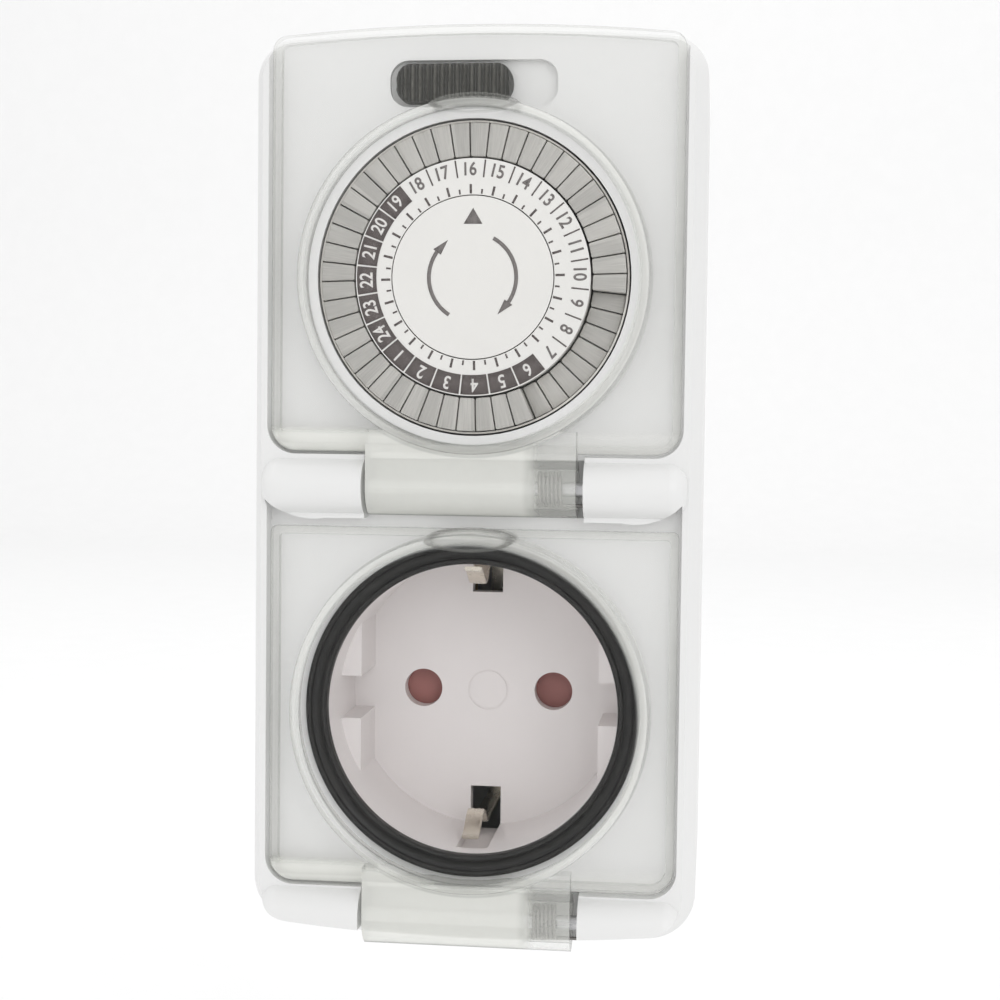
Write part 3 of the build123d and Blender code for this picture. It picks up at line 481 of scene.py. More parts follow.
@dataclass(frozen=True)
class Metal:
    """Plated or drawn metal: streaks along one axis, dulled in cloudy patches."""

    name: str
    colour: Colour
    roughness: float
    stretch: tuple[float, float, float] = (1.0, 0.08, 1.0)
    grain: float = 1500.0
    cloud_scale: float = 240.0
    dull: float = 0.88
    cloud_share: float = 0.4

    def make(self) -> bpy.types.Material:
        """Builds the material.

        Returns:
            The material.
        """
        r = Recipe(self.name)
        scaled = [r.maths("MULTIPLY", a, s) for a, s in zip(r.axes(), self.stretch)]
        streak = r.noise(self.grain, 4.0, r.joined(*scaled))
        cloud = r.noise(self.cloud_scale, 3.0)
        dull = shade(self.colour, self.dull)
        r.feed("Base Color", r.blend(r.ramp(cloud, 0.3, 0.7), dull, self.colour))
        patchy = r.maths("MULTIPLY", cloud, self.cloud_share)
        rough = r.maths("ADD", r.maths("MULTIPLY", streak, 1.0 - self.cloud_share), patchy)
        r.feed("Roughness", r.ramp(rough, 0.25, 0.75, self.roughness - 0.08, self.roughness + 0.14))
        r.set(Metallic=1.0)
        r.emboss(streak, 0.006, 0.6)
        return r.material


@dataclass(frozen=True)
class Rubber:
    """Soft black rubber with a bloom of dust and a fine pore."""

    name: str
    colour: Colour = (0.011, 0.0105, 0.01)
    dusty: float = 2.4
    bloom_scale: float = 420.0
    pore_scale: float = 3800.0

    def make(self) -> bpy.types.Material:
        """Builds the material.

        Returns:
            The material.
        """
        r = Recipe(self.name)
        bloom = r.noise(self.bloom_scale, 5.0)
        dust = shade(self.colour, self.dusty)
        r.feed("Base Color", r.blend(r.ramp(bloom, 0.4, 0.8), self.colour, dust))
        r.feed("Roughness", r.ramp(bloom, 0.3, 0.7, 0.36, 0.58))
        r.set(Specular_IOR_Level=0.4)
        r.emboss(r.noise(self.pore_scale, 2.0), 0.02, 0.8)
        return r.material


@dataclass(frozen=True)
class Grip:
    """Dark ribbed plastic, paler along the ribs' crests and darker in the grooves.

    The paleness is a smooth step of the depth, from the crests to the grooves' floor, broken up
    by streaks that run along the ribs.
    """

    name: str
    crest: float
    rib_depth: float
    groove: Colour = (0.012, 0.011, 0.01)
    rubbed: Colour = (0.12, 0.115, 0.105)
    across_scale: float = 1400.0
    along_scale: float = 120.0

    def make(self) -> bpy.types.Material:
        """Builds the material.

        Returns:
            The material.
        """
        r = Recipe(self.name)
        x, y, z = r.axes()
        front = (MOUTH + self.crest) * MM
        high = r.ramp(y, front + 0.1 * MM, front + 0.8 * self.rib_depth * MM, 1.0, 0.0)
        across = r.maths("MULTIPLY", x, self.across_scale)
        place = r.joined(across, y, r.maths("MULTIPLY", z, self.along_scale))
        streak = r.ramp(r.noise(1.0, 3.0, place), 0.3, 0.65, 0.25, 1.0)
        r.feed("Base Color", r.blend(r.maths("MULTIPLY", high, streak), self.groove, self.rubbed))
        fine = r.noise(2600.0, 3.0)
        r.feed("Roughness", r.ramp(fine, 0.3, 0.7, 0.38, 0.52))
        r.emboss(fine, 0.02, 0.7)
        return r.material


@dataclass(frozen=True)
class Ink:
    """Pad-printed ink, thinner in places so that the plastic shows through."""

    name: str
    colour: Colour
    worn: Colour
    patch_scale: float = 2400.0
    wear: float = 0.6

    def make(self) -> bpy.types.Material:
        """Builds the material.

        Returns:
            The material.
        """
        r = Recipe(self.name)
        patch = r.noise(self.patch_scale, 3.0)
        thin = r.ramp(patch, 0.45, 0.95, 0.0, self.wear)
        r.feed("Base Color", r.blend(thin, self.colour, self.worn))
        r.feed("Roughness", r.ramp(patch, 0.3, 0.7, 0.4, 0.6))
        return r.material


# ------------------------------------------------------------------ surfaces
class Surfaces:
    """Grids of points gathered into one mesh."""

    def __init__(self) -> None:
        """Starts with nothing in it."""
        self.points: list[np.ndarray] = []
        self.faces: list[np.ndarray] = []
        self.count = 0

    def grid(self, points: np.ndarray, rows_wrap: bool = False, columns_wrap: bool = False) -> None:
        """Adds a grid of points, in millimetres, with a quad between each four neighbours.

        Args:
            points: array of rows by columns by 3.
            rows_wrap: joins the last row to the first.
            columns_wrap: joins the last column to the first.
        """
        rows, columns = points.shape[:2]
        index = np.arange(rows * columns).reshape(rows, columns) + self.count
        if rows_wrap:
            index = np.vstack([index, index[:1]])
        if columns_wrap:
            index = np.hstack([index, index[:, :1]])
        corners = (index[:-1, :-1], index[:-1, 1:], index[1:, 1:], index[1:, :-1])
        self.points.append(points.reshape(-1, 3))
        self.faces.append(np.stack(corners, axis=-1).reshape(-1, 4))
        self.count += rows * columns

    def triangles(self, points: np.ndarray, faces: np.ndarray) -> None:
        """Adds loose triangles.

        Args:
            points: rows of three coordinates, in millimetres.
            faces: rows of three point numbers.
        """
        self.points.append(points)
        self.faces.append(faces + self.count)
        self.count += len(points)

    def mesh(self, name: str, clean_normals: bool) -> bpy.types.Mesh:
        """Joins all that was added into a mesh in metres, with doubled points merged.

        Args:
            name: the mesh's name.
            clean_normals: turns the faces of closed forms outwards.

        Returns:
            The mesh.
        """
        mesh = bpy.data.meshes.new(name)
        faces = [row for block in self.faces for row in block.tolist()]
        mesh.from_pydata((np.vstack(self.points) * MM).tolist(), [], faces)
        work = bmesh.new()
        work.from_mesh(mesh)
        bmesh.ops.remove_doubles(work, verts=work.verts, dist=WELD)
        bmesh.ops.dissolve_degenerate(work, edges=work.edges, dist=SLIVER)
        if clean_normals:
            bmesh.ops.recalc_face_normals(work, faces=work.faces)
        work.to_mesh(mesh)
        work.free()
        return mesh

    def piece(
        self,
        name: str,
        finish: bpy.types.Material,
        body: str,
        slot: str,
        turn: Turn = Turn.CORNERS,
        stands_for: Sequence[str] = (),
        wall: float = 0.0,
    ) -> None:
        """Makes the mesh object and joins it to the frame.

        Args:
            name: the piece's name.
            finish: its material.
            body: the body that it rides on.
            slot: the record's material slot of its finish; not used.
            turn: how its faces are shaded.
            stands_for: CAD nodes that it replaces.
            wall: thickness in millimetres given to open sheets, 0 for closed forms.
        """
        mesh = self.mesh(name, clean_normals=not wall)
        mesh.materials.append(finish)
        mesh.shade_smooth()
        if turn is not Turn.ROUND:
            mesh.set_sharp_from_angle(angle=math.radians(turn.value))
        thing = bpy.data.objects.new(name, mesh)
        bpy.context.scene.collection.objects.link(thing)
        if wall:
            solid = thing.modifiers.new("wall", "SOLIDIFY")
            solid.thickness = wall * MM
            solid.offset = -1.0
        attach(thing, body)
        if stands_for:
            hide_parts(*stands_for)
        log.info("%s: %d faces on %s", name, len(mesh.polygons), body)


def lathe(profile: np.ndarray, centre_z: float, steps: int = 128) -> np.ndarray:
    """Turns a profile about a line along Y.

    The point of profile row (r, d) at angle t is (r cos t, mouth + d, centre_z + r sin t).

    Args:
        profile: rows of radius and depth, in millimetres.
        centre_z: height of the line.
        steps: columns round the turn.

    Returns:
        A grid of points that wraps on its columns.
    """
    t = np.linspace(0.0, 2.0 * np.pi, steps, endpoint=False)
    r, d = profile[:, :1], profile[:, 1:2]
    y = np.broadcast_to(MOUTH + d, (len(profile), steps))
    return np.stack([r * np.cos(t), y, centre_z + r * np.sin(t)], axis=-1)


def polar(radius: np.ndarray, turn: np.ndarray, depth: float) -> np.ndarray:
    """Places on the dial's face.

    At radius r and turn a the place is (-r sin a, mouth + depth, r cos a).

    Args:
        radius: distances from the dial's axis.
        turn: degrees anticlockwise from the top, seen from the front.
        depth: depth of the face.

    Returns:
        Points of the two arrays' common shape.
    """
    a = np.radians(turn)
    x, z = np.broadcast_arrays(-radius * np.sin(a), radius * np.cos(a))
    return np.stack([x, np.full_like(x, MOUTH + depth), z], axis=-1)


def turn_of(hour: float) -> float:
    """An hour's turn in degrees, anticlockwise from the top."""
    return TOP_TURN + (hour - TOP_HOUR) * HOUR_TURN


def rounded(corners: np.ndarray, radius: float, steps: int) -> np.ndarray:
    """Rounds the corners of a convex outline.

    Each corner becomes steps points of a quadratic curve: with u from 0 to 1, the point is
    (1-u)^2 a + 2u(1-u) c + u^2 b, where c is the corner and a and b lie radius along its edges.

    Args:
        corners: rows of two coordinates, in order.
        radius: distance from the corner at which the curve starts.
        steps: points on each corner.

    Returns:
        Rows of two coordinates.
    """
    before = np.roll(corners, 1, axis=0) - corners
    after = np.roll(corners, -1, axis=0) - corners
    a = corners + before / np.linalg.norm(before, axis=1, keepdims=True) * radius
    b = corners + after / np.linalg.norm(after, axis=1, keepdims=True) * radius
    u = np.linspace(0.0, 1.0, steps)[None, :, None]
    curve = (1 - u) ** 2 * a[:, None] + 2 * u * (1 - u) * corners[:, None] + u**2 * b[:, None]
    return curve.reshape(-1, 2)


def extruded(outlines: Sequence[np.ndarray], depths: Sequence[float]) -> np.ndarray:
    """Carries outlines backwards and closes both ends to a point at their middle.

    Args:
        outlines: for each section, rows of across and up.
        depths: each section's place along Y.

    Returns:
        A grid of points that wraps on its columns.
    """
    rows = []
    for flat, depth in zip(outlines, depths):
        rows.append(np.stack([flat[:, 0], np.full(len(flat), depth), flat[:, 1]], axis=-1))
    first, last = (np.broadcast_to(row.mean(axis=0), row.shape) for row in (rows[0], rows[-1]))
    return np.stack([first, *rows, last])


def block(sides: tuple[float, float, float, float], depths: Sequence[float]) -> np.ndarray:
    """A plain closed bar along Y.

    Args:
        sides: its left, right, low and high sides.
        depths: its front and back along Y.

    Returns:
        A grid of points that wraps on its columns.
    """
    left, right, low, high = sides
    flat = np.array([(left, low), (right, low), (right, high), (left, high)])
    return extruded([flat, flat], depths)


def closed_path(line: np.ndarray) -> tuple[np.ndarray, np.ndarray, np.ndarray]:
    """Readies a line to carry a section that shrinks to a point at both ends.

    Args:
        line: rows of points.

    Returns:
        The line with its first and last point doubled, its unit direction at each point, and
        the section's size there: 0 at both ends, 1 between.
    """
    line = np.vstack([line[:1], line, line[-1:]])
    way = np.gradient(line, axis=0)
    way[0], way[-1] = way[1], way[-2]
    way /= np.linalg.norm(way, axis=1, keepdims=True)
    size = np.ones(len(line))
    size[[0, -1]] = 0.0
    return line, way, size


def steep(wave: np.ndarray, power: float) -> np.ndarray:
    """A wave's size raised to a power, its sign kept."""
    return np.sign(wave) * np.abs(wave) ** power


def dress(node: str, material: bpy.types.Material) -> None:
    """Gives a CAD node its material."""
    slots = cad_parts[node].data.materials
    slots.clear()
    slots.append(material)


# ------------------------------------------------------------------ sub-assemblies
@dataclass
class Housing:
    """Both shells, the plug and all that is fixed to them."""

    seam: float = 20.0
    shell: Colour = (0.79, 0.79, 0.785)

    def metals(self) -> dict[bpy.types.Material, tuple[str, ...]]:
        """The metal finishes.

        Returns:
            Each finish with the CAD nodes that have it.
        """
        nickel = Metal("nickel_plate", (0.72, 0.68, 0.6), 0.24)
        brass = Metal("brass_strip", (0.72, 0.52, 0.22), 0.3, stretch=(1.0, 1.0, 0.06))
        steel = Metal("steel_bright", (0.56, 0.56, 0.57), 0.26, stretch=(0.1, 1.0, 1.0))
        strips = ("neutral_contact", "live_contact", "live_feed_strip", "earth_strip")
        pins = ("lid_hinge_pins", "gear_arbor", "lever_pin", "shutter_spring")
        return {
            nickel.make(): ("plug_pin_live", "plug_pin_neutral", "plug_earth_contacts"),
            brass.make(): (*strips, "motor_pinion"),
            steel.make(): (*pins, "housing_screws", "motor_case"),
        }

    def plastics(self) -> dict[bpy.types.Material, tuple[str, ...]]:
        """The plastic and rubber finishes.

        Returns:
            Each finish with the CAD nodes that have it.
        """
        white = Moulded("shell_white", self.shell, 0.36, depth=0.0015, clouds=0.006, seam=self.seam)
        black = Moulded("switch_black", (0.03, 0.03, 0.033), 0.4)
        plate = Moulded("plate_natural", (0.62, 0.62, 0.6), 0.45, grain=1800.0, depth=0.02)
        gear = Moulded("gear_grey", (0.24, 0.24, 0.245), 0.36, grain=1400.0)
        wheel = Moulded("wheel_natural", (0.72, 0.71, 0.68), 0.4, grain=1400.0)
        return {
            white.make(): ("front_housing", "rear_housing"),
            black.make(): ("micro_switch", "switch_plunger"),
            plate.make(): ("mechanism_plate", "switch_lever"),
            gear.make(): ("dial_axle", "intermediate_gear"),
            wheel.make(): ("dial_wheel",),
            Rubber("gasket_rubber").make(): ("housing_gasket", "plug_seal"),
        }

    def build(self) -> None:
        """Gives the fixed CAD nodes, and the works behind the dial, their finishes."""
        looks = {**self.metals(), **self.plastics()}
        for material, nodes in looks.items():
            for node in nodes:
                dress(node, material)
        log.info("housing: %d finishes", len(looks))


@dataclass
class Lid:
    """One sprung lid with the coil spring in its barrel."""

    node: str
    dome_z: float
    dome_r: float
    hinge_z: float
    pad_z: float
    bottom: float
    top: float
    hinge_depth: float = -1.5
    coil_r: float = 2.15
    wire_r: float = 0.24
    coil_left: float = 8.75
    coil_right: float = 12.0
    leg_end: float = 14.9
    turns: float = 6.0

    def coil_line(self) -> np.ndarray:
        """The wire's middle line in the coil.

        It winds round the hinge line: at angle a it is at x rising evenly from left to right,
        coil_r cos a behind or in front of the line and coil_r sin a above it. It ends at the
        bottom, where the straight leg starts.

        Returns:
            Rows of three coordinates.
        """
        end = 2 * np.pi * self.turns - np.pi / 2
        a = np.linspace(-np.pi / 2, end, int(self.turns * 30))
        x = np.linspace(self.coil_left, self.coil_right, len(a))
        y = MOUTH + self.hinge_depth + self.coil_r * np.cos(a)
        z = self.hinge_z + self.coil_r * np.sin(a)
        return np.stack([x, y, z], axis=-1)

    def leg_line(self) -> np.ndarray:
        """The straight leg's middle line, from the last turn into the fixed knuckle.

        Returns:
            Rows of three coordinates.
        """
        x = np.linspace(self.coil_right, self.leg_end, 8)
        y = np.full_like(x, MOUTH + self.hinge_depth)
        return np.stack([x, y, np.full_like(x, self.hinge_z - self.coil_r)], axis=-1)

    def wire(self, line: np.ndarray) -> np.ndarray:
        """A tube round a line, closed at both ends.

        Round each point it is wire_r (n cos f + b sin f), where n points from the hinge line
        and b is the cross product of the line's direction and n.

        Args:
            line: rows of three coordinates.

        Returns:
            A grid of points that wraps on its columns.
        """
        line, way, size = closed_path(line)
        out = line - np.array([0.0, MOUTH + self.hinge_depth, self.hinge_z])
        out[:, 0] = 0.0
        out -= way * np.sum(out * way, axis=1, keepdims=True)
        out /= np.linalg.norm(out, axis=1, keepdims=True)
        side = np.cross(way, out)
        f = np.linspace(0.0, 2 * np.pi, 10, endpoint=False)[None, :, None]
        reach = (self.wire_r * size)[:, None, None]
        return line[:, None] + reach * (out[:, None] * np.cos(f) + side[:, None] * np.sin(f))

    def build(self, spring: bpy.types.Material) -> None:
        """Dresses the lid and makes its spring.

        Args:
            spring: the spring wire's material.
        """
        name = self.node + "_plastic"
        clear = ClearLid(name, self.dome_z, self.dome_r, self.pad_z, self.bottom, self.top)
        dress(self.node, clear.make())
        coil = Surfaces()
        for line in (self.coil_line(), self.leg_line()):
            coil.grid(self.wire(line), columns_wrap=True)
        node = self.node + "_spring"
        coil.piece(node + "_coil", spring, Body.HOUSING.value, "steel", Turn.ROUND, [node])


@dataclass
class Tappets:
    """The tappets, two to an hour."""

    in_r: float = 15.85
    out_r: float = 20.3
    face: float = -4.2
    head: float = 2.5
    travel: float = 2.1
    gap: float = 0.15
    bevel: float = 0.13
    corner: float = 0.2
    stem: tuple[float, float] = (16.6, 18.0)
    stem_half: float = 0.55
    stem_root: float = 0.05
    stem_end: float = 6.4
    half_turn: float = 3.75
    pressed: tuple[int, ...] = (6, 7, 8, 9)
    colour: Colour = (0.47, 0.46, 0.435)

    def outline(self, inset: float) -> np.ndarray:
        """A head's outline at the top of the dial: a wedge with rounded corners.

        Args:
            inset: distance by which the outline is drawn in.

        Returns:
            Rows of across and outwards.
        """
        slope = math.tan(math.radians(self.half_turn))
        low = self.in_r + inset
        high = self.out_r * math.cos(math.radians(self.half_turn)) - inset
        side = self.gap / 2 + inset
        corners = [(low * slope - side, low), (high * slope - side, high)]
        corners += [(side - high * slope, high), (side - low * slope, low)]
        return rounded(np.array(corners), self.corner, 4)

    def head_rows(self) -> np.ndarray:
        """Sections of a head, from its face's middle back to its rear's middle.

        Near the face the outline widens by a quarter circle of the bevel's size.

        Returns:
            A grid of points that wraps on its columns.
        """
        a = np.linspace(0.0, np.pi / 2, 4)
        insets = [*(self.bevel * (1 - np.sin(a))), 0.0]
        depths = [*(self.bevel * (1 - np.cos(a))), self.head]
        return extruded([self.outline(inset) for inset in insets], depths)

    def stem_rows(self) -> np.ndarray:
        """Sections of a stem, a plain bar closed at both ends.

        Returns:
            A grid of points that wraps on its columns.
        """
        low, high = self.stem
        sides = (-self.stem_half, self.stem_half, low, high)
        return block(sides, (self.head - self.stem_root, self.stem_end - self.face))

    def placed(self, rows: np.ndarray, turn: float, shift: float) -> np.ndarray:
        """Turns sections about the dial's axis and sets them at the face's depth.

        Args:
            rows: sections at the top of the dial, from the face.
            turn: degrees anticlockwise.
            shift: how far the tappet is pushed in.

        Returns:
            The same grid in its place.
        """
        a = math.radians(turn)
        x = rows[..., 0] * math.cos(a) - rows[..., 2] * math.sin(a)
        z = rows[..., 0] * math.sin(a) + rows[..., 2] * math.cos(a)
        return np.stack([x, MOUTH + self.face + shift + rows[..., 1], z], axis=-1)

    def build(self) -> None:
        """Makes one piece for each hour."""
        grey = Brushed("tappet_grey", self.colour).make()
        head, stem = self.head_rows(), self.stem_rows()
        for hour in range(1, HOURS + 1):
            shift = self.travel if hour in self.pressed else 0.0
            pair = Surfaces()
            for side in (-self.half_turn, self.half_turn):
                for rows in (head, stem):
                    pair.grid(self.placed(rows, turn_of(hour) + side, shift), columns_wrap=True)
            node, body = f"tappets_{hour:02d}", f"tappet_pair_{hour:02d}"
            pair.piece(node + "_pair", grey, body, "tappet_grey", Turn.CORNERS, [node])


@dataclass
class Dial:
    """The hour ring and centre disc with all their print, and the wheel's rim."""

    ring_face: float = -4.4
    lift: float = 0.03
    ink_wall: float = 0.022
    cell_in: float = 12.85
    cell_out: float = 15.45
    cell_margin: float = 0.45
    arc_step: float = 1.5
    digit_r: float = 14.22
    digit_height: float = 1.78
    digit_squeeze: float = 0.84
    digit_bold: float = 0.018
    tick_in: float = 10.98
    long_tick: float = 12.2
    long_width: float = 0.3
    short_tick: float = 11.6
    short_width: float = 0.22
    divider_in: float = 13.15
    divider_width: float = 0.2
    pointer_foot: float = 7.0
    pointer_tip: float = 9.1
    pointer_half: float = 1.25
    arrow_r: float = 5.8
    arrow_half: float = 0.62
    arrow_lean: float = 0.1
    stroke: float = 0.5
    rim_out: float = 20.64
    rim_wall: float = 0.24
    rim_front: float = -3.5
    web_in: float = 18.6
    web_back: float = 2.42
    web_wall: float = 0.45
    rim_colour: Colour = (0.66, 0.64, 0.6)
    white: Colour = (0.8, 0.79, 0.765)
    night: tuple[int, ...] = (19, 20, 21, 22, 23, 24, 1, 2, 3, 4, 5, 6)

    def arc(
        self, radii: tuple[float, float], turns: tuple[float, float], depth: float
    ) -> np.ndarray:
        """A flat band round the dial's axis.

        Args:
            radii: its inner and outer radius.
            turns: its first and last turn, in degrees.
            depth: its depth.

        Returns:
            A grid of points.
        """
        steps = max(2, int(abs(turns[1] - turns[0]) / self.arc_step))
        turn = np.linspace(*turns, steps)[:, None]
        return polar(np.array([radii[::-1]]), turn, depth)

    def bar(
        self, radii: tuple[float, float], turn: float, width: float, depth: float
    ) -> np.ndarray:
        """A straight radial mark of even width: half of it each side, as an angle at each end.

        Args:
            radii: its inner and outer radius.
            turn: its turn in degrees.
            width: its width.
            depth: its depth.

        Returns:
            A grid of points.
        """
        reach = np.array(radii)
        half = math.degrees(width / 2) / reach
        low, high = polar(reach, turn - half, depth), polar(reach, turn + half, depth)
        return np.stack([high[::-1], low[::-1]])

    def cells(self, depth: float) -> Surfaces:
        """The dark cells behind the night hours, with thin light lines between them.

        Args:
            depth: the print's depth.

        Returns:
            The cells.
        """
        made = Surfaces()
        for hour in self.night:
            first = 0.0 if hour == self.night[0] else self.cell_margin
            last = 0.0 if hour == self.night[-1] else self.cell_margin
            low, high = turn_of(hour) - HOUR_TURN / 2, turn_of(hour) + HOUR_TURN / 2
            made.grid(self.arc((self.cell_in, self.cell_out), (low + first, high - last), depth))
        return made

    def marks(self, depth: float) -> Surfaces:
        """The ticks round the disc and the dividers between the day hours.

        Args:
            depth: the print's depth.

        Returns:
            The marks.
        """
        made = Surfaces()
        ticks = ((self.long_tick, self.long_width), (self.short_tick, self.short_width))
        for half in range(2 * HOURS):
            end, width = ticks[half % 2]
            made.grid(self.bar((self.tick_in, end), turn_of(TOP_HOUR + half / 2), width, depth))
        span = (self.divider_in, self.cell_out)
        for hour in range(self.night[-1] + 1, self.night[0] - 1):
            made.grid(self.bar(span, turn_of(hour + 0.5), self.divider_width, depth))
        return made

    def typed(self, text: str) -> tuple[np.ndarray, np.ndarray]:
        """A number in type, centred and scaled to the digit height.

        Args:
            text: what is typed.

        Returns:
            Rows of across and up, and rows of the three points of each triangle.
        """
        curve = bpy.data.curves.new("number", "FONT")
        curve.body = text
        curve.offset = self.digit_bold
        thing = bpy.data.objects.new("number", curve)
        bpy.context.scene.collection.objects.link(thing)
        bpy.context.view_layer.update()
        flat = bpy.data.meshes.new_from_object(thing)
        bpy.data.objects.remove(thing)
        flat.calc_loop_triangles()
        points = np.empty(len(flat.vertices) * 3)
        flat.vertices.foreach_get("co", points)
        faces = np.empty(len(flat.loop_triangles) * 3, dtype=int)
        flat.loop_triangles.foreach_get("vertices", faces)
        bpy.data.meshes.remove(flat)
        points = points.reshape(-1, 3)[:, :2]
        low, high = points.min(axis=0), points.max(axis=0)
        points = (points - (low + high) / 2) * self.digit_height / (high[1] - low[1])
        return points, faces.reshape(-1, 3)

    def digits(self, hours: Sequence[int], depth: float) -> Surfaces:
        """The numbers of some hours, tops outwards.

        Each point (x, y) of a number goes to x, squeezed, along the dial's tangent and to y
        outwards from the digit radius.

        Args:
            hours: the hours.
            depth: the print's depth.

        Returns:
            The numbers.
        """
        made = Surfaces()
        for hour in hours:
            points, faces = self.typed(str(hour))
            a = math.radians(turn_of(hour))
            along, out = points[:, 0] * self.digit_squeeze, points[:, 1] + self.digit_r
            x = along * math.cos(a) - out * math.sin(a)
            z = along * math.sin(a) + out * math.cos(a)
            made.triangles(np.stack([x, np.full_like(x, MOUTH + depth), z], axis=-1), faces)
        return made

    def pointer(self, depth: float) -> Surfaces:
        """The time pointer's triangle and the two turning arrows of the centre disc.

        Args:
            depth: the print's depth.

        Returns:
            The pointer and arrows.
        """
        made = Surfaces()
        one = np.array([[0, 1, 2]])
        x = np.array([-self.pointer_half, self.pointer_half, 0.0])
        z = np.array([self.pointer_foot, self.pointer_foot, self.pointer_tip])
        made.triangles(np.stack([x, np.full(3, MOUTH + depth), z], axis=-1), one)
        band = (self.arrow_r - self.stroke / 2, self.arrow_r + self.stroke / 2)
        offsets = np.array([-self.arrow_half, self.arrow_half, self.arrow_lean])
        for tail, neck, tip in ((-28.0, -124.0, -145.0), (148.0, 55.0, 34.0)):
            made.grid(self.arc(band, (min(tail, neck), max(tail, neck)), depth))
            head = polar(self.arrow_r + offsets, np.array([neck, neck, tip]), depth)
            made.triangles(head if tail < 0 else head[[1, 0, 2]], one)
        return made

    def rim(self) -> Surfaces:
        """The wheel's thin outer rim round the tappets, with the web that joins it to the wheel.

        Its section is an L, carried round the dial's axis.

        Returns:
            The rim.
        """
        out, inner = self.rim_out, self.rim_out - self.rim_wall
        back, floor = self.web_back, self.web_back - self.web_wall
        section = [(inner, self.rim_front), (out, self.rim_front), (out, back)]
        section += [(self.web_in, back), (self.web_in, floor), (inner, floor)]
        made = Surfaces()
        made.grid(lathe(np.array(section), 0.0, 192), rows_wrap=True, columns_wrap=True)
        return made

    def build(self) -> None:
        """Dresses the ring and disc and makes the rim and the print."""
        natural = Moulded("rim_natural", self.rim_colour, 0.4, grain=1400.0).make()
        self.rim().piece("dial_rim", natural, Body.DIAL.value, "dial_white")
        white = Moulded("dial_white", self.white, 0.38, grain=3200.0, depth=0.004, clouds=0.012)
        face = white.make()
        for node in ("hour_ring", "pointer_disc"):
            dress(node, face)
        dark = Ink("ink_dark", (0.1, 0.083, 0.08), (0.22, 0.2, 0.19)).make()
        grey = Ink("ink_grey", (0.17, 0.155, 0.15), (0.3, 0.28, 0.27)).make()
        light = Ink("ink_light", (0.8, 0.78, 0.76), (0.6, 0.57, 0.55)).make()
        low = self.ring_face - self.lift
        top = low - self.lift
        day = [hour for hour in range(1, HOURS + 1) if hour not in self.night]
        sheets = (
            ("night_cells", self.cells(low), dark, Body.DIAL, "wheel_grey"),
            ("hour_marks", self.marks(low), dark, Body.DIAL, "wheel_grey"),
            ("day_numbers", self.digits(day, low), grey, Body.DIAL, "wheel_grey"),
            ("night_numbers", self.digits(self.night, top), light, Body.DIAL, "dial_white"),
            ("pointer_marks", self.pointer(low), grey, Body.HOUSING, "wheel_grey"),
        )
        for name, surfaces, ink, body, slot in sheets:
            surfaces.piece(name, ink, body.value, slot, Turn.CRISP, wall=self.ink_wall)


@dataclass
class Override:
    """The ribbed knob of the override slider."""

    left: float = -11.3
    right: float = 4.6
    middle_z: float = 26.1
    half_height: float = 2.6
    front: float = -1.2
    back: float = 1.1
    ribs: int = 15
    rib_depth: float = 0.62
    rib_steps: int = 14
    rib_sharpness: float = 0.6
    arch_power: float = 7.0
    crown_start: float = 0.75
    end_round: float = 2.1
    stem_sides: tuple[float, float, float, float] = (-6.4, -3.4, 25.4, 26.8)
    stem_depths: tuple[float, float] = (1.0, 5.0)

    def surface(self) -> np.ndarray:
        """The knob's skin.

        The length runs with u from -1 to 1. The half height is even along the middle and falls
        along a quarter circle at each end, as in a slot with round ends. Across, it is a
        superellipse arch from one foot to the other. The crown between the ribs dips by
        rib_depth times a sharpened cosine of the length.

        Returns:
            A grid of points that wraps on its columns.
        """
        u = np.linspace(-1.0, 1.0, (self.ribs + 1) * self.rib_steps + 1)
        length = self.right - self.left
        straight = 1.0 - self.end_round * 2.0 / length
        over = np.clip((np.abs(u) - straight) / (1.0 - straight), 0.0, 1.0)
        width = np.sqrt(1.0 - over**2)
        s = np.linspace(0.0, np.pi, 33)
        across = steep(np.cos(s), 2 / self.arch_power)
        height = np.abs(np.sin(s)) ** (2 / self.arch_power)
        wave = 0.5 + 0.5 * np.cos((u + 1) / 2 * (self.ribs + 1) * 2 * np.pi)
        crown = np.clip((height - self.crown_start) / (1.0 - self.crown_start), 0.0, 1.0) ** 0.5
        dip = self.rib_depth * wave[:, None] ** self.rib_sharpness * crown[None, :]
        x = np.broadcast_to(((self.left + self.right) / 2 + length / 2 * u)[:, None], dip.shape)
        rise = (self.front - self.back) * height[None, :] * width[:, None] ** 0.5
        y = np.minimum(MOUTH + self.back + rise + dip, MOUTH + self.back)
        z = self.middle_z + self.half_height * width[:, None] * across[None, :]
        return np.stack([x, y, z], axis=-1)

    def build(self) -> None:
        """Makes the knob, with the stem that joins it to its foot through the slot."""
        grey = Grip("knob_grey", self.front, self.rib_depth).make()
        knob = Surfaces()
        knob.grid(self.surface(), columns_wrap=True)
        stem = block(self.stem_sides, [MOUTH + depth for depth in self.stem_depths])
        knob.grid(stem, columns_wrap=True)
        body = Body.SLIDER.value
        knob.piece("override_knob", grey, body, "knob_grey", Turn.CORNERS, ["override_slider"])


